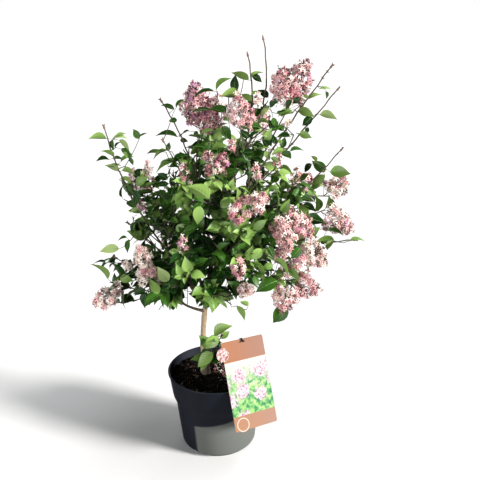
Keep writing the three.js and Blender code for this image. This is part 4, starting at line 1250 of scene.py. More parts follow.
# Painted sunlight on the pot's lower wall, below the edge of the label's shadow: how far round from the front
# it lies, in degrees, and where it begins and is full.
SUNLIT_BAND = {"side": 57, "from": 84, "to": 79, "colour": (0.136, 0.144, 0.132), "most": 0.92}
BARK = mottled("bark_trunk", (0.56, 0.425, 0.275), (0.15, 0.10, 0.055), 60, 420, 2.6, 0.8, 0.8, (1, 1, 0.35))
BOUGH_BARK = mottled("bark_boughs", (0.20, 0.14, 0.095), (0.060, 0.040, 0.030), 70, 500, 2.4, 0.75, 0.7)
STEM_BARK = mottled("bark_stems", (0.115, 0.088, 0.062), (0.045, 0.034, 0.025), 70, 500, 2.4, 0.75, 0.7)
TWIG_BARK = mottled("bark_twigs", (0.062, 0.053, 0.039), (0.028, 0.025, 0.019), 90, 600, 2.4, 0.65, 0.0)
# The pot's dark navy is painted shade, the label's shadow and the shaded side of the pot; the plastic's own
# grey shows only in the painted sunlight on its foot.
PLASTIC = mottled("pot_plastic", (0.0085, 0.0112, 0.0185), (0.0055, 0.0072, 0.0125), 28, 900, 1.6, 0.5, 0.12,
                  (1, 1, 0.5), 0.0002, Specular_IOR_Level=0.22)


def by_height(material, start, end, uneven, colour, most=1.0, rise=0.0):
    """Turns a material towards `colour` from one height to another, with an uneven edge that can rise to the
    right. Returns the mask."""
    tree = material.node_tree
    own = shader_input(material, "Base Color").links[0].from_socket
    where = own_place(tree)
    x, _, z = separate(tree, where)
    height = maths(tree, "MULTIPLY_ADD", x, -rise, z)
    height = maths(tree, "MULTIPLY_ADD", noise_of(tree, where, 45, 4.0), uneven * MM, height)
    mask = maths(tree, "MULTIPLY", stepped(tree, height, start * MM, end * MM), most)
    drive(material, "Base Color", mixed(tree, mask, own, colour))
    return mask


def paint_sunlit_foot(material):
    """Painted sunlight: the lower wall turns paler and duller on the lit side, below the edge of the label's
    shadow, and thins out behind.
    """
    side = math.radians(SUNLIT_BAND["side"])
    tree = material.node_tree
    where = own_place(tree)
    towards = node(tree, "ShaderNodeVectorMath", {0: where, 1: (math.sin(side), -math.cos(side), 0)},
                   operation="DOT_PRODUCT").outputs["Value"]
    behind = separate(tree, where)[1]
    most = maths(tree, "MULTIPLY", stepped(tree, towards, -4 * MM, 3 * MM),
                 stepped(tree, behind, 68 * MM, -12 * MM))
    most = maths(tree, "MULTIPLY", most, SUNLIT_BAND["most"])
    mask = by_height(material, SUNLIT_BAND["from"], SUNLIT_BAND["to"], 5, SUNLIT_BAND["colour"], most, 0.2)
    drive(material, "Roughness", maths(tree, "MULTIPLY_ADD", mask, 0.3, 0.45))


paint_sunlit_foot(PLASTIC)
by_height(BARK, 300, 380, 30, (0.11, 0.075, 0.05), 0.9)
by_height(BARK, 196, 172, 20, (0.060, 0.042, 0.028), 0.9)
# The compost's own dark colour, darkened further as painted shade.
COMPOST = mottled("compost", (0.010, 0.0078, 0.0062), (0.0022, 0.0019, 0.0017), 220, 900, 2.6, 0.95, 1.0,
                  Specular_IOR_Level=0.08)
COMPOST_CLODS = mottled("compost_clods", (0.013, 0.010, 0.008), (0.0026, 0.0022, 0.0019), 260, 1100, 2.6,
                        0.95, 1.0, Specular_IOR_Level=0.08)
CHIPS = mottled("bark_chips", (0.17, 0.095, 0.058), (0.055, 0.030, 0.018), 200, 900, 2.4, 0.85, 0.8)
SPECKS = principled("white_specks", (0.75, 0.74, 0.70), 0.8)
STAKE_PLASTIC = mottled("stake_plastic", (0.016, 0.016, 0.017), (0.009, 0.009, 0.010), 90, 900, 1.6, 0.45,
                        0.1)

# ---- pot


def pot_radius(height):
    foot, body = POT_BAND["body"] - POT_BAND["taper"], POT_BAND["body"]
    heights = (0, POT_CHAMFER, POT_BAND["bottom"] - POT_BAND["step"], POT_BAND["bottom"], POT["height"])
    return float(np.interp(height, heights, (POT["base"], foot, body, POT_BAND["radius"], POT["rim"])))


def pot_outline():
    """Height and radius of the pot's rings, from its foot up the outside and down inside to its floor."""
    step_foot, band = POT_BAND["bottom"] - POT_BAND["step"], POT_BAND["bottom"]
    lip = POT["height"] - LIP["height"]
    half_step = POT_BAND["step"] / 2
    outside = [(POT_CHAMFER - POT_EDGE, pot_radius(POT_CHAMFER) - POT_EDGE),
               (POT_CHAMFER + POT_EDGE, pot_radius(POT_CHAMFER + POT_EDGE)),
               (step_foot - 2, pot_radius(step_foot - 2)),
               (step_foot + POT_EDGE, pot_radius(step_foot) + 0.25),
               (step_foot + half_step, pot_radius(step_foot + half_step)),
               (band - POT_EDGE, pot_radius(band) - 0.4), (band + POT_EDGE, pot_radius(band + POT_EDGE)),
               (lip, pot_radius(lip) - LIP["depth"]), (lip + 0.2, POT["rim"] - 0.3),
               (POT["height"] - 0.7, POT["rim"]), (POT["height"], POT["rim"] - 0.7)]
    inner_top = POT["rim"] - LIP["depth"] - POT["wall"]
    inside = [(POT["height"], inner_top + 0.6), (POT["height"] - 0.6, inner_top)]
    inside += [(height, pot_radius(height) - POT["wall"]) for height in (band, step_foot, POT_CHAMFER)]
    return outside + inside + [(POT["floor"], POT["base"] - POT["wall"])]


def drill_holes(pot):
    """Cuts the drain holes through the pot's floor."""
    for i in range(DRAIN_HOLE["count"]):
        angle = 2 * math.pi * (i + 0.5) / DRAIN_HOLE["count"]
        x, y = DRAIN_HOLE["ring"] * math.cos(angle) * MM, DRAIN_HOLE["ring"] * math.sin(angle) * MM
        bpy.ops.mesh.primitive_cylinder_add(vertices=24, radius=DRAIN_HOLE["radius"] * MM,
                                            depth=4 * POT["floor"] * MM, location=(x, y, 0))
        drill = bpy.context.object
        drill.select_set(False)
        apply_modifier(pot, "BOOLEAN", object=drill, operation="DIFFERENCE", solver="EXACT")
        bpy.data.objects.remove(drill)


def make_pot():
    """A round drawn up ring by ring along the pot's outline, with drain holes and rounded edges."""
    bpy.ops.mesh.primitive_circle_add(vertices=96, radius=POT["base"] * MM, fill_type="NGON",
                                      location=(0, 0, 0))
    pot = editing(bpy.context.object, "FACE")
    select_all()
    last_z, last_r = 0, POT["base"]
    for z, r in pot_outline():
        extrude(0, 0, (z - last_z) * MM)
        resize(r / last_r, r / last_r, 1, about=(0, 0, z * MM))
        last_z, last_r = z, r
    select_all()
    bpy.ops.mesh.normals_make_consistent(inside=False)
    done(pot, "nursery_pot")
    drill_holes(pot)
    apply_modifier(pot, "BEVEL", width=0.35 * MM, segments=2, limit_method="ANGLE",
                   angle_limit=math.radians(50))
    pot.data.uv_layers.remove(pot.data.uv_layers.active)  # a leftover that nothing reads
    pot.data.materials.append(PLASTIC)
    pot.select_set(True)
    bpy.ops.object.shade_smooth_by_angle(angle=math.radians(35))
    pot.select_set(False)
    ready(pot, "pot", "pot")


make_pot()

# ---- compost

SOIL_RADIUS = pot_radius(SOIL["top"]) - POT["wall"] - LIP["depth"] - 0.6
SOIL_LUMPS = ((2.4, 17, 3), (1.5, 6, 7), (0.8, 2.4, 11))  # height, size and layer of the noise
MOUND = {"height": 3.2, "spread": 500}  # compost heaped round the trunk
TRUNK_FOOT = TRUNK_LINE[0][:2]
TRUNK_CLEAR = 11  # from the trunk's middle to the nearest crumb
WALL_CLEAR = 5  # from the compost's rim to the nearest crumb
STAKE_AT, STAKE_CLEAR = (66, -30), (6, 8)  # where the stake goes into the compost, and the room round it


def soil_height(x, y):
    """The compost's surface in millimetres: clods and hollows, lower towards the wall."""
    r = math.hypot(x, y)
    edge = max(0, (r - (SOIL_RADIUS - SOIL["edge"])) / SOIL["edge"])
    rough = sum(high * noise.noise(Vector((x / wide, y / wide, layer))) for high, wide, layer in SOIL_LUMPS)
    off = (x - TRUNK_FOOT[0]) ** 2 + (y - TRUNK_FOOT[1]) ** 2
    mound = MOUND["height"] * math.exp(-off / MOUND["spread"])
    return SOIL["top"] - SOIL["lower"] - SOIL["sink"] * edge ** 1.5 + rough * (1 - 0.5 * edge) + mound


def make_soil():
    """A disc of rings set in from its rim, lifted to the compost's surface."""
    bpy.ops.mesh.primitive_circle_add(vertices=180, radius=SOIL_RADIUS * MM, fill_type="NGON",
                                      location=(0, 0, SOIL["top"] * MM))
    soil = editing(bpy.context.object, "FACE")
    select_all()
    extrude(0, 0, SOIL["skirt"] * MM)
    for _ in range(SOIL["rings"]):
        bpy.ops.mesh.inset(thickness=SOIL_RADIUS * MM / (SOIL["rings"] + 2))
    bpy.ops.mesh.poke()
    done(soil, "compost")
    settle(soil)
    low = SOIL["top"] * MM + 1e-6
    for v in soil.data.vertices:
        if v.co.z > low:
            v.co.z = soil_height(v.co.x / MM, v.co.y / MM) * MM
        else:
            v.co.z = (SOIL["top"] - SOIL["skirt"]) * MM
    soil.data.materials.append(COMPOST)
    soil.data.shade_smooth()
    ready(soil, "compost", "soil")


make_soil()


def pebble(level, squash):
    """A lump with an uneven surface, as a pattern."""
    bpy.ops.mesh.primitive_ico_sphere_add(subdivisions=level, radius=0.5, location=(0, 0, 0))
    lump = editing(bpy.context.object)
    select_all()
    resize(1, 0.8, squash)
    bpy.ops.transform.vertex_random(offset=0.11, uniform=0.4, normal=0.5, seed=level)
    return taken(lump)


def chip():
    """A splinter of bark: a thin bar, narrower at its ends."""
    bpy.ops.mesh.primitive_cube_add(size=1, location=(0, 0, 0))
    bar = editing(bpy.context.object)
    select_all()
    bpy.ops.mesh.subdivide(number_cuts=2)
    bpy.ops.mesh.remove_doubles(threshold=1e-4)
    edit_select(bar, lambda c: abs(c.x) > 0.4)
    resize(1, 0.5, 0.6)
    select_all()
    bpy.ops.transform.vertex_random(offset=0.06, uniform=0.5, normal=0.2, seed=4)
    return taken(bar)


def scattered(count, seed, size_of, where=lambda draw: (draw() ** 0.5, draw()), sink=0.3, tilt=0.5):
    """Frames for small things that lie on the compost, clear of the trunk and the stake."""
    draw = seeded(seed)
    frames = []
    for _ in range(count):
        share, turn = where(draw)
        x = (SOIL_RADIUS - WALL_CLEAR) * share * math.cos(2 * math.pi * turn)
        y = (SOIL_RADIUS - WALL_CLEAR) * share * math.sin(2 * math.pi * turn)
        sizes = size_of(draw)
        turning = Matrix.Rotation(2 * math.pi * draw(), 3, "Z") @ Matrix.Rotation(swing(draw, tilt), 3, "X")
        turning = turning @ Matrix.Rotation(swing(draw, tilt), 3, "Y")
        by_stake = abs(x - STAKE_AT[0]) < STAKE_CLEAR[0] and abs(y - STAKE_AT[1]) < STAKE_CLEAR[1]
        if math.hypot(x - TRUNK_FOOT[0], y - TRUNK_FOOT[1]) >= TRUNK_CLEAR and not by_stake:
            frames.append((np.array(turning) * np.array(sizes),
                           (x, y, soil_height(x, y) + (0.5 - sink) * sizes[2])))
    return frames


def litter():
    """Clods, splinters and white grains on the compost."""
    lump, grain, bar = pebble(2, 0.7), pebble(1, 0.8), chip()

    def clod_size(draw):
        size = 2.5 + 6.5 * draw() ** 2
        return size, size * (0.7 + 0.4 * draw()), size * 0.7

    def behind(draw):
        """Towards the back left, where sunlight falls on the compost: the chips are real litter, and heaping
        them there paints that lit patch.
        """
        return 0.42 + 0.55 * draw(), 0.22 + 0.4 * draw()

    clods = scattered(420, SEEDS["clods"], clod_size)
    chips = scattered(26, SEEDS["chips"], lambda d: (6 + 9 * d(), 1.2 + 1.4 * d(), 1 + d()))
    more_chips = scattered(60, SEEDS["chips_behind"], lambda d: (5 + 8 * d(), 1 + 1.2 * d(), 0.8 + d()),
                           behind)
    specks = scattered(30, SEEDS["specks"], lambda d: (1 + 1.6 * d(),) * 3, tilt=3.0)
    ready(joined("compost_clods", [copies(lump, clods)], COMPOST_CLODS), "compost")
    ready(joined("bark_chips", [copies(bar, chips + more_chips)], CHIPS, smooth=False), "compost")
    ready(joined("white_specks", [copies(grain, specks)], SPECKS), "compost")


litter()

# ---- trunk and boughs with bark

BARK_RING = 2.2  # from ring to ring along a limb
TRUNK_SIDES, BOUGH_SIDES = 24, 12
BARK_DEPTH = {"trunk": 0.9, "boughs": 0.5}
COLLAR = {"by": 0.45, "run": 7}  # how much thicker a bough starts, and how soon that fades


def tubes(name, lines, sides, material):
    """Round tapering tubes along lines of points with radii, as one mesh, with closed ends."""
    curve = bpy.data.curves.new(name, "CURVE")
    curve.dimensions = "3D"
    curve.bevel_depth = MM
    curve.bevel_resolution = sides // 2 - 2
    curve.use_fill_caps = True
    for points, radii in lines:
        spline = curve.splines.new("POLY")
        spline.points.add(len(points) - 1)
        for p, place, radius in zip(spline.points, points, radii):
            p.co = (*(place * MM), 1)
            p.radius = radius
    obj = added(name, curve)
    obj.select_set(True)
    activate(obj)
    bpy.ops.object.convert(target="MESH")
    obj = bpy.context.object
    obj.select_set(False)
    obj.data.shade_smooth()
    obj.data.materials.append(material)
    return obj


def bark_relief(obj, sides, deep):
    """Lengthwise ridges, knots and fine roughness, out along the surface."""
    mesh = obj.data
    ways = [v.normal.copy() for v in mesh.vertices]
    for i, v in enumerate(mesh.vertices):
        ring, turn = i // sides, 2 * math.pi * (i % sides) / sides
        x, y, along = math.cos(turn), math.sin(turn), ring * BARK_RING
        ridge = 1 - 2 * abs(noise.noise(Vector((2.1 * x, 2.1 * y, along / 26))))
        fine = noise.noise(Vector((5 * x, 5 * y, along / 5)))
        band = noise.noise(Vector((x * 0.6, y * 0.6, along / 3.2 + 40)))
        v.co += ways[i] * (deep * MM * (0.55 * (ridge - 0.55) + 0.4 * fine + 0.28 * band))
    mesh.update()


def make_trunk():
    line = sampled(trunk_curve, int(line_length(TRUNK_LINE) / BARK_RING), trunk_radius)
    trunk = tubes("trunk_bark", [line], TRUNK_SIDES, BARK)
    bark_relief(trunk, TRUNK_SIDES, BARK_DEPTH["trunk"])
    ready(trunk, "bark", "trunk")


def make_boughs():
    """The boughs, each with a collar where it leaves the trunk."""
    lines = []
    for name, *_ in BOUGHS:
        curve, radius_at = LIMBS[name]
        steps = int(length_of(curve(1) - curve(0)) / BARK_RING)
        points, radii = sampled(curve, steps, radius_at)
        collar = [1 + COLLAR["by"] * math.exp(-i * BARK_RING / COLLAR["run"]) for i in range(steps + 1)]
        lines.append((points, [r * c for r, c in zip(radii, collar)]))
    boughs = tubes("bough_bark", lines, BOUGH_SIDES, BOUGH_BARK)
    bark_relief(boughs, BOUGH_SIDES, BARK_DEPTH["boughs"])
    ready(boughs, "bark", *[b[0] for b in BOUGHS])


make_trunk()
make_boughs()

# ---- stems, twigs, sprays and stalks


def stem_line(m):
    """A mass's stem with its knots. A thin shoot also changes its heading a little at each."""
    slender = m["name"].startswith("shoot")
    thick, thin = SHOOT_RADII if slender else STEM_RADII
    points = [m["curve"](t) for t in np.linspace(0, 1, STEM_STEPS + 1)]
    radii = []
    for k in range(STEM_STEPS + 1):
        swell = 0.1 if k % 2 else -0.04
        radii.append(thick + (thin - thick) * k / STEM_STEPS + swell)
        if slender and 0 < k < STEM_STEPS:
            side, steep = square_to(tangent(m["curve"], k / STEM_STEPS))
            points[k] = points[k] + (side if k % 4 < 2 else steep) * (SHOOT_KINK * (1 if k % 2 else -1))
    return points, radii


def twig_line(twig):
    base = twig["base"] + twig["shift"]
    return bowed(base, base + twig["direction"] * twig["length"], -1.2, 5, TWIG_RADII)


def make_stems():
    lines = [twig_line(twig) for twig in twigs]
    lines += [bowed(a, b, -0.8, 3, SPRAY_RADII) for a, b in sprays]
    lines += [(line, list(np.linspace(*THIN_TWIG_RADII, len(line)))) for line in thin_twigs]
    ready(tubes("foliage_stems", [stem_line(m) for m in MASSES], 8, STEM_BARK), "bark")
    ready(tubes("foliage_twigs", lines, 6, TWIG_BARK), "bark")


make_stems()


def rod():
    """A thin square rod from 0 to 1 along Y, ready to be edited."""
    bpy.ops.mesh.primitive_cylinder_add(vertices=4, radius=1, depth=1, end_fill_type="NGON",
                                        location=(0, 0.5, 0), rotation=(-math.pi / 2, 0, 0))
    return opened()


def stalk_pattern():
    """A leaf stalk: a rod that thins towards its leaf."""
    stalk = rod()
    edit_select(stalk, lambda c: c.y > 0.5)
    resize(0.7, 1, 0.7, about=(0, 1, 0))
    return taken(stalk)


def make_stalks():
    frames = []
    for root, end in stalks:
        heading, length = unit(end - root), length_of(end - root) + STALK_SIZE["into_leaf"]
        first, second = square_to(heading)
        radius = STALK_SIZE["radius"]
        frames.append((np.column_stack((first * radius, heading * length, second * -radius)), root))
    ready(joined("leaf_stalks", [copies(stalk_pattern(), frames)], STALK), "foliage")


make_stalks()

# ---- leaves

# The blade's outline: share of its length, share of its half width.
LEAF_OUTLINE = ((0, 0.07), (0.07, 0.46), (0.2, 0.85), (0.38, 1), (0.56, 0.9), (0.74, 0.58), (0.89, 0.22),
                (1, 0.02))
# Three kinds of blade: their fold, their arch and the wave of their margin.
LEAF_KINDS = ((0.48, 0.14, 0.006), (0.32, 0.26, 0.012), (0.12, 0.16, 0.014))


def leaf_bow(arch, along):
    """How high the midrib lies over a straight line: it rises a little, and its tip bends down."""
    return -arch * along ** 2.2 + 0.06 * math.sin(math.pi * along)


def leaf_pattern(fold, arch, wave):
    """A blade from 0 to 1 along Y: an ovate sheet folded along its midrib, whose tip bends down."""
    rows = len(LEAF_OUTLINE) - 1
    bpy.ops.mesh.primitive_grid_add(x_subdivisions=4, y_subdivisions=rows, size=1, location=(0, 0.5, 0))
    blade = opened()
    half = LEAF["width"] / 2
    for k, (along, share) in reversed(list(enumerate(LEAF_OUTLINE))):
        at, eps = k / rows, 0.2 / rows
        edit_select(blade, lambda c: abs(c.y - at) < eps)
        resize(2 * half * share, 1, 1, about=(0, at, 0))
        move(0, along - at + 3, leaf_bow(arch, along))
        for low, high, lift in ((0.75, 1.1, 1.0), (0.3, 0.75, 0.42)):
            edit_select(blade, lambda c: abs(c.y - along - 3) < 1e-3
                        and low < abs(c.x) / (half * share) < high)
            ripple = wave * math.sin(9 * along + 1)
            move(0, 0, (fold * half * share + ripple * share) * lift)
    select_all()
    move(0, -3, 0)
    return taken(blade)


def rib_pattern(arch):
    """The midrib: a low ridge along the blade, seen from above and below."""
    rib = rod()
    for cut in (0.25, 0.5, 0.75):
        select_all()
        bpy.ops.mesh.bisect(plane_co=(0, cut, 0), plane_no=(0, 1, 0))
    for along in (0, 0.25, 0.5, 0.75, 1):
        edit_select(rib, lambda c: abs(c.y - along) < 0.02)
        resize(0.016 * (1 - 0.8 * along), 1, 0.013 * (1 - 0.6 * along), about=(0, along, 0))
        move(0, 0, leaf_bow(arch, along))
    return taken(rib)


def blade_frame(leaf):
    axes = np.column_stack((leaf["side"] * leaf["slim"], leaf["direction"], leaf["face"]))
    return axes * leaf["length"], leaf["base"]


def make_leaves():
    """All blades, joined by their green, and all midribs."""
    patterns = [(leaf_pattern(*kind), rib_pattern(kind[1])) for kind in LEAF_KINDS]
    rib_parts = []
    for tint, green in enumerate(LEAF_GREENS):
        parts = []
        for kind, (blade, rib) in enumerate(patterns):
            frames = [blade_frame(b) for b in blades if (b["tint"], b["kind"]) == (tint, kind)]
            if frames:
                parts.append(copies(blade, frames))
                rib_parts.append(copies(rib, frames))
        ready(joined(green.name.replace("leaf", "leaves"), parts, green, mapped="blade"), "foliage")
    ready(joined("leaf_ribs", rib_parts, RIB), "foliage", *[m["name"] for m in MASSES])


make_leaves()

# ---- blossom


PETAL_STEPS = ((0.2, 0.05, 1.85), (0.17, -0.015, 0.85), (0.12, -0.06, 0.2))  # out, rise and widening


def widened(obj, across, share):
    """Widens the selected vertices along `across`, about their middle."""
    bm = bmesh.from_edit_mesh(obj.data)
    chosen = [v for v in bm.verts if v.select]
    middle = sum((v.co for v in chosen), Vector()) / len(chosen)
    for v in chosen:
        v.co += across * ((v.co - middle) @ across) * (share - 1)
    bmesh.update_edit_mesh(obj.data)


def floret_pattern():
    """A floret with four spread petals on a thin tube. It faces +Z, and is 1 wide."""
    bpy.ops.mesh.primitive_cylinder_add(vertices=4, radius=0.085, depth=0.75, end_fill_type="NOTHING",
                                        location=(0, 0, -0.375))
    flower = opened("EDGE")
    edit_select(flower, lambda c: c.z < -0.7, "edges")
    resize(0.5, 0.5, 1, about=(0, 0, -0.75))
    for k in range(4):
        way = Vector((math.cos(math.pi * (k + 0.5) / 2), math.sin(math.pi * (k + 0.5) / 2), 0))
        edit_select(flower, lambda c: c.z > -0.01 and c.xy.length > 0.02 and c.xy.normalized() @ way.xy > 0.9
                    and c.xy.length < 0.09, "edges")
        across = Vector((-way.y, way.x, 0))
        for out, rise, wide in PETAL_STEPS:
            extrude(*(way * out + Vector((0, 0, rise))))
            widened(flower, across, wide)
    return taken(flower)


def bud_pattern():
    """A closed flower bud: a club on a thin neck, from -1 to 0 along Z."""
    bpy.ops.mesh.primitive_uv_sphere_add(segments=5, ring_count=4, radius=0.5, location=(0, 0, -0.5))
    bud = opened()
    edit_select(bud, lambda c: c.z > -0.4)
    resize(0.7, 0.7, 0.9, about=(0, 0, -0.3))
    edit_select(bud, lambda c: c.z < -0.6)
    resize(0.3, 0.3, 1, about=(0, 0, -0.8))
    select_all()
    resize(0.5, 0.5, 1, about=(0, 0, -0.5))
    return taken(bud)


def profile_at(along):
    return float(np.interp(along, [p[0] for p in BLOOM_PROFILE], [p[1] for p in BLOOM_PROFILE]))


def floret_kind(along, shares, tip_buds, draw):
    """The petals of a floret at the share `along` of its head, whose tip is in closed buds."""
    if draw() < tip_buds * along ** 4:
        return BUD
    pick, total = draw(), 0
    for kind, share in zip(PETALS, shares):
        total += share
        if pick < total:
            break
    return kind


def way_out(radial, axis, draw):
    """A unit vector for a floret on its ball, mostly away from the head's axis and up."""
    while True:
        way = swings(draw, 2)
        if 0.05 < length_of(way) < 1 and way @ (radial * 0.9 + axis * 0.4) > -0.35 * length_of(way):
            return unit(way)


def facing(face, side):
    """Axes whose Z is `face` and whose X is `side`."""
    return np.column_stack((side, cross(face, side), face))


def flower_head(end, tip, radius, tone, tip_buds, draw, frames, branches):
    """One head: side branches up its axis, each with a ball of florets, and closed buds towards the tip."""
    axis, length = unit(tip - end), length_of(tip - end)
    count = int(5 + length * radius / HEAD["per_branch"])
    branches.append(bowed(end, tip - axis * 3, 0, 5, HEAD_STALK_RADII))
    for k in range(count + 1):
        along = HEAD["from"] + (HEAD["to"] - HEAD["from"]) * ((k + 0.6 * draw()) / count if k < count else 1)
        radial = sideways(axis, GOLDEN_TURN * k + swing(draw, HEAD["turn_spread"]))
        wide = max(profile_at(along), HEAD["thinnest"])
        ball = radius * HEAD["ball"] * (0.62 + 0.38 * wide) * (0.8 + 0.45 * draw())
        out = radius * wide * HEAD["out"] * (0.75 + 0.5 * draw())
        middle = end + axis * (along * length) + radial * out
        root = end + axis * (max(0.0, along - HEAD["branch_drop"]) * length)
        branches.append((np.array([root, middle]), BRANCH_RADII))
        main = floret_kind(along, TONES[tone], tip_buds, draw)
        for _ in range(int(HEAD["cover"] * 4 * math.pi * ball ** 2 * 0.62 / FLORET["pitch"] ** 2) + 3):
            way = way_out(radial, axis, draw)
            stray = HEAD["stray"] if draw() < HEAD["stray_chance"] else 1
            place = middle + way * (ball * (0.7 + 0.34 * draw()) * stray)
            face = unit(way + radial * 0.2 + axis * 0.25 + swings(draw, 0.8))
            like_main = draw() < HEAD["like_main"] and main in MAIN_PETALS
            kind = main if like_main else floret_kind(along, TONES[tone], tip_buds, draw)
            side = sideways(face, 2 * math.pi * draw())
            size = FLORET["width"] * (0.78 + 0.4 * draw()) * (HEAD["bud_size"] if kind == BUD else 1)
            if in_box(place):
                frames[kind].append((facing(face, side) * size, place))


# Small loose heads between the large ones: foot, tip, radius and tone.
LOOSE_HEADS = (
    ((112, -112, 420), (119, -124, 443), 13, "pink"), ((122, -114, 399), (130, -126, 419), 12, "pale"),
    ((143, -120, 413), (151, -131, 434), 12, "pink"), ((161, -111, 405), (168, -121, 423), 10, "pale"),
    ((-137, -90, 402), (-145, -102, 418), 9, "pale"), ((78, -92, 549), (77, -92, 583), 7.5, "pink"),
    ((128, -30, 626), (136, -30, 640), 7, "pale"), ((10, -18, 658), (20, -24, 680), 11, "pale"),
    ((6, -26, 624), (18, -34, 646), 12, "mauve"), ((36, -86, 596), (41, -92, 622), 7, "rose"),
    ((-114, -60, 490), (-116, -64, 514), 8, "mauve"), ((82, -44, 663), (82, -46, 688), 7.5, "pale"),
    ((-36, -22, 640), (-45, -26, 676), 10, "purple"), ((34, -20, 633), (31, -24, 668), 9, "pale"),
)
# Where the fallen florets lie on the compost.
FALLEN = ((-9, 32), (-3, 20), (1, 8), (-4, 5), (5, 28), (8, -3), (-1, 40), (11, 12), (-12, 48), (13, -14),
          (16, -24))


def grow_heads(frames, branches):
    """The heads at the stems' ends."""
    for index, m in enumerate(MASSES):
        end, tip_buds = m["curve"](BLOOM_FROM), TIP_BUDS.get(m["tone"], HEAD["tip_buds"])
        for number, (_, tip, radius) in enumerate(m["heads"]):
            draw = seeded(SEEDS["heads"] + 10 * index + number)
            flower_head(end, tip, radius * m["bloom_width"], m["tone"], tip_buds, draw, frames, branches)


def drop_florets(frames):
    """The fallen florets, which lie face up."""
    draw = seeded(SEEDS["fallen"])
    for x, y in FALLEN:
        spin, size = 2 * math.pi * draw(), FLORET["width"] * (0.8 + 0.3 * draw())
        face = unit(np.array((draw() - 0.5, draw() - 0.5, 1.2)))
        side = unit(cross(face, np.array((math.cos(spin), math.sin(spin), 0))))
        kind = "petal_pale" if draw() < 0.7 else "petal_rose"
        frames[kind].append((facing(face, side) * size, np.array((x, y, SOIL["top"] + 5))))


def grow_loose_heads(frames, branches):
    """The small heads, each on a stalk from the nearest stem or twig."""
    wood = wood_places()
    for number, (foot, tip, radius, tone) in enumerate(LOOSE_HEADS):
        foot, tip = np.array(foot, float), np.array(tip, float)
        branches.append(bowed(nearest(wood, foot), foot, -1, 4, (0.8, 0.5)))
        draw = seeded(SEEDS["loose_heads"] + number)
        flower_head(foot, tip, radius, tone, HEAD["tip_buds"], draw, frames, branches)


def make_blossom():
    """All flower heads, joined by colour, and their stalks."""
    flower, bud = floret_pattern(), bud_pattern()
    frames, branches = {kind: [] for kind in PETALS}, []
    grow_heads(frames, branches)
    drop_florets(frames)
    grow_loose_heads(frames, branches)
    for kind, places in frames.items():
        name = "flower_buds" if kind == BUD else kind.replace("petal", "florets")
        ready(joined(name, [copies(bud if kind == BUD else flower, places)], PETALS[kind]), "foliage")
    ready(tubes("flower_head_stalks", branches, 4, STALK), "foliage")


make_blossom()

# ---- buds on the shoots' tips

BUD_SCALE = principled("bud_scales", (0.15, 0.095, 0.075), 0.6)
TIP_BUD_SIZES = ((0, 13), (0.5, 7.5), (-0.5, 7.5))  # how far each leans out, and its length
SIDE_BUDS = {"gap": 13, "lean": 0.9, "length": 5.5}


def bud_frames(m):
    """Three buds at a shoot's tip, and pairs down its bare end."""
    curve = m["curve"]
    bare = m["bare_tip"] * length_of(m["tip"] - curve(0))
    pairs = int(bare / SIDE_BUDS["gap"])
    first, second = square_to(tangent(curve, 1))
    leaning = (first, second, -first, -second)[pairs % 4]
    spots = [(1, way, size) for way, size in TIP_BUD_SIZES]
    for k in range(pairs):
        t = 1 - m["bare_tip"] * (k + 1) * SIDE_BUDS["gap"] / bare
        spots += [(t, way, SIDE_BUDS["length"]) for way in (SIDE_BUDS["lean"], -SIDE_BUDS["lean"])]
    for t, way, size in spots:
        face = unit(tangent(curve, t) + leaning * way)
        a, b = square_to(face)
        clear = 0.35 if way == 0 else 0.85
        yield np.column_stack((a * 0.72, b * 0.72, face)) * size, curve(t) + face * size * clear


def make_shoot_buds():
    frames = [frame for m in MASSES if not m["heads"] for frame in bud_frames(m)]
    ready(joined("shoot_buds", [copies(bud_pattern(), frames)], BUD_SCALE), "foliage")


make_shoot_buds()

# ---- label and stake

PRINT_EDGE = 0.25 * MM  # how soft the edges of the print are


def label_map(tree):
    """A place on the card: X to its right and Y up, from its middle, and Z out of its front."""
    turn = (Matrix.Rotation(math.radians(LABEL["turn"]), 4, "Z")
            @ Matrix.Rotation(math.radians(90 - LABEL["lean_back"]), 4, "X")
            @ Matrix.Rotation(math.radians(-LABEL["lean"]), 4, "Z")).to_euler("XYZ")
    settings = {"Vector": own_place(tree), "Location": Vector(LABEL["centre"]) * MM, "Rotation": turn}
    return node(tree, "ShaderNodeMapping", settings, vector_type="TEXTURE").outputs[0]


def shades(tree, value, stops):
    """A ramp of colours: its first two stops are its lowest and its highest."""
    ramp = node(tree, "ShaderNodeValToRGB", {0: value})
    elements = ramp.color_ramp.elements
    for k, (at, colour) in enumerate(stops):
        stop = elements[k] if k < 2 else elements.new(at)
        stop.position, stop.color = at, (*colour, 1)
    return ramp.outputs[0]


def disc(tree, place, x, y, radius):
    """1 inside a round on the card, 0 outside."""
    centred = node(tree, "ShaderNodeCombineXYZ", {0: maths(tree, "SUBTRACT", place[0], x),
                                                  1: maths(tree, "SUBTRACT", place[1], y)}).outputs[0]
    away = node(tree, "ShaderNodeVectorMath", {0: centred}, operation="LENGTH").outputs["Value"]
    return stepped(tree, away, radius + PRINT_EDGE, radius - PRINT_EDGE)


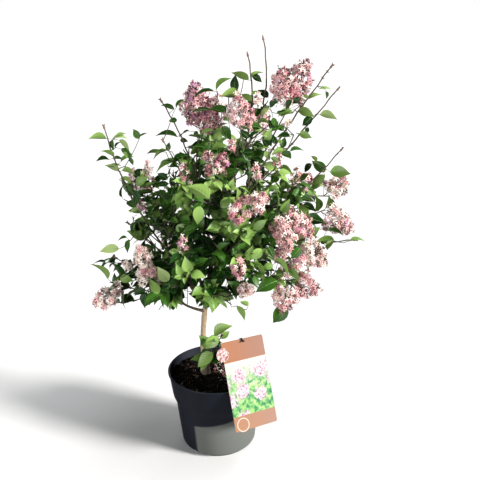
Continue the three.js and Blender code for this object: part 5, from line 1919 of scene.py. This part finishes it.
def label_picture(tree, local, place):
    """Clusters of pale blossom over leaves, hazy towards the top."""
    wobble = noise_of(tree, local, 160, 3.0)
    leaves = shades(tree, noise_of(tree, local, 105, 5.0, 0.62), (
        (0.38, (0.025, 0.13, 0.055)), (0.76, (0.44, 0.50, 0.32)), (0.46, (0.07, 0.24, 0.085)),
        (0.54, (0.19, 0.37, 0.11)), (0.64, (0.33, 0.45, 0.20))))
    petals = shades(tree, noise_of(tree, local, 330, 2.0), (
        (0.42, (0.46, 0.42, 0.44)), (0.66, (0.21, 0.05, 0.12)), (0.54, (0.42, 0.28, 0.34))))
    spread = node(tree, "ShaderNodeTexVoronoi", {"Vector": local, "Scale": 31, "Randomness": 1.0},
                  feature="F1", voronoi_dimensions="2D").outputs
    heads = maths(tree, "ADD", spread["Distance"], maths(tree, "MULTIPLY", wobble, 0.9))
    clusters = maths(tree, "MULTIPLY", stepped(tree, heads, 0.98, 0.76),
                     stepped(tree, separate(tree, spread["Color"])[0], 0.30, 0.34))
    haze = stepped(tree, maths(tree, "MULTIPLY_ADD", wobble, 0.12, place[1]), 56 * MM, 94 * MM)
    return mixed(tree, clusters, mixed(tree, haze, leaves, (0.44, 0.45, 0.40)), petals)


def label_ground(tree, place, worn, half_w, top, bottom):
    """The plain terracotta of the two bands, rosier to the right and paler at the foot."""
    rosy = stepped(tree, place[0], -half_w, half_w)
    card = mixed(tree, worn, (0.245, 0.102, 0.050), (0.289, 0.120, 0.060))
    card = mixed(tree, rosy, card, (0.238, 0.124, 0.088))
    foot = stepped(tree, place[1], top, bottom)
    return mixed(tree, maths(tree, "MULTIPLY", foot, 0.35), card, (0.285, 0.185, 0.125))


def with_ring(tree, place, colour, card, x, y):
    """A cream ring on a plain round."""
    plain = disc(tree, place, x, y, LABEL["ring_clear"] * MM)
    stroke = maths(tree, "SUBTRACT", disc(tree, place, x, y, LABEL["ring_outer"] * MM),
                   disc(tree, place, x, y, LABEL["ring_inner"] * MM))
    return mixed(tree, stroke, mixed(tree, plain, colour, card), (0.50, 0.44, 0.36))


def with_badge(tree, local, place, colour, x, y):
    """A round badge of blossom, cut off by the card's edge."""
    badge = disc(tree, place, x, y, LABEL["badge_radius"] * MM)
    return mixed(tree, badge, colour, shades(tree, noise_of(tree, local, 260, 3.0), (
        (0.38, (0.52, 0.46, 0.42)), (0.64, (0.10, 0.04, 0.03)), (0.52, (0.42, 0.20, 0.21)))))


def label_material():
    """Terracotta card with a made-up picture of blossom over leaves, a cream ring and a plain round badge."""
    material = principled("label_print", (0.43, 0.13, 0.09), 0.6, Specular_IOR_Level=0.12)
    tree = material.node_tree
    local = label_map(tree)
    place = separate(tree, local)
    half_w, half_h = LABEL["width"] / 2 * MM, LABEL["height"] / 2 * MM
    top, bottom = half_h - LABEL["top_band"] * MM, -half_h + LABEL["bottom_band"] * MM
    in_picture = maths(tree, "MULTIPLY", stepped(tree, place[1], bottom - PRINT_EDGE, bottom + PRINT_EDGE),
                       stepped(tree, place[1], top + PRINT_EDGE, top - PRINT_EDGE))
    picture = label_picture(tree, local, place)
    worn = noise_of(tree, local, 60, 4.0)
    card = label_ground(tree, place, worn, half_w, top, bottom)
    colour = mixed(tree, in_picture, card, picture)
    colour = with_ring(tree, place, colour, card, -half_w + LABEL["ring_in"] * MM,
                       -half_h + LABEL["ring_up"] * MM)
    colour = with_badge(tree, local, place, colour, -half_w, half_h - LABEL["badge_down"] * MM)
    border = maths(tree, "SUBTRACT", stepped(tree, place[1], top - 1.0 * MM, top - 0.6 * MM),
                   stepped(tree, place[1], top - 0.2 * MM, top + 0.2 * MM))
    colour = mixed(tree, border, colour, (0.50, 0.45, 0.39))
    back = stepped(tree, place[2], 0.45 * MM, 0.35 * MM)
    colour = mixed(tree, back, colour, (0.62, 0.60, 0.56))
    drive(material, "Base Color", colour)
    drive(material, "Roughness", maths(tree, "MULTIPLY_ADD", worn, 0.16, 0.52))
    return material


def dress(node_name, material):
    obj = frame["nodes"][node_name]
    obj.data.materials.clear()
    obj.data.materials.append(material)


dress("label_card", label_material())
dress("label_stake", STAKE_PLASTIC)

# ---- floor, light and camera


AMBIENT = 0.04
FLOOR_SEEN, FLOOR_BOUNCE = (0.80, 0.80, 0.80), (0.22, 0.22, 0.22)
LIGHTS = (  # name, strength, spread in degrees, colour, and the way it shines
    ("key", 7.9, 14, (1.0, 0.98, 0.955), (-0.88, 0.37, -0.34)),
    ("top_fill", 1.2, 40, (0.98, 0.99, 1.0), (-0.35, -0.05, -1.0)),
    ("front_fill", 2.7, 30, (0.98, 0.99, 1.0), (0.64, 0.74, -0.20)),
    ("back_fill", 1.1, 36, (0.98, 0.99, 1.0), (-0.30, -0.88, -0.18)),
)


def make_floor():
    """A pale floor that throws back less light than it shows."""
    bpy.ops.mesh.primitive_plane_add(size=60, location=(0, 0, -0.0003))
    floor = bpy.context.object
    floor.name = "floor"
    floor.select_set(False)
    paper = principled("floor", FLOOR_SEEN, 0.9, Specular_IOR_Level=0.1)
    seen = node(paper.node_tree, "ShaderNodeLightPath").outputs["Is Camera Ray"]
    drive(paper, "Base Color", mixed(paper.node_tree, seen, FLOOR_BOUNCE, FLOOR_SEEN))
    floor.data.materials.append(paper)


def make_world():
    """White where the camera sees it, and a dim light from all sides."""
    world = bpy.data.worlds.new("studio")
    bpy.context.scene.world = world
    world.use_nodes = True
    tree = world.node_tree
    seen = node(tree, "ShaderNodeLightPath").outputs["Is Camera Ray"]
    sky = tree.nodes["Background"].inputs
    sky["Color"].default_value = (1.0, 1.0, 1.0, 1)
    tree.links.new(maths(tree, "MULTIPLY_ADD", seen, 1 - AMBIENT, AMBIENT), sky["Strength"])


def make_lights():
    for name, energy, spread, colour, aim in LIGHTS:
        sun = added(name, bpy.data.lights.new(name, "SUN"))
        sun.data.energy, sun.data.angle, sun.data.color = energy, math.radians(spread), colour
        sun.rotation_euler = Vector(aim).to_track_quat("-Z", "Y").to_euler()


def make_camera():
    """The camera stands in front of the bush and looks a little down; its lens is worked out for a square
    picture.
    """
    right, up, ahead = (Vector(axis) for axis in view_axes())
    data = bpy.data.cameras.new("camera")
    data.sensor_width = 36
    data.lens = data.sensor_width * VIEW["focal"] / VIEW["side"]
    camera = added("camera", data)
    turn = Matrix((right, up, -ahead)).transposed().to_4x4()
    camera.matrix_world = Matrix.Translation([place * MM for place in VIEW["place"]]) @ turn
    bpy.context.scene.camera = camera


make_floor()
make_world()
make_lights()
make_camera()
bpy.context.scene.view_settings.view_transform = "Standard"
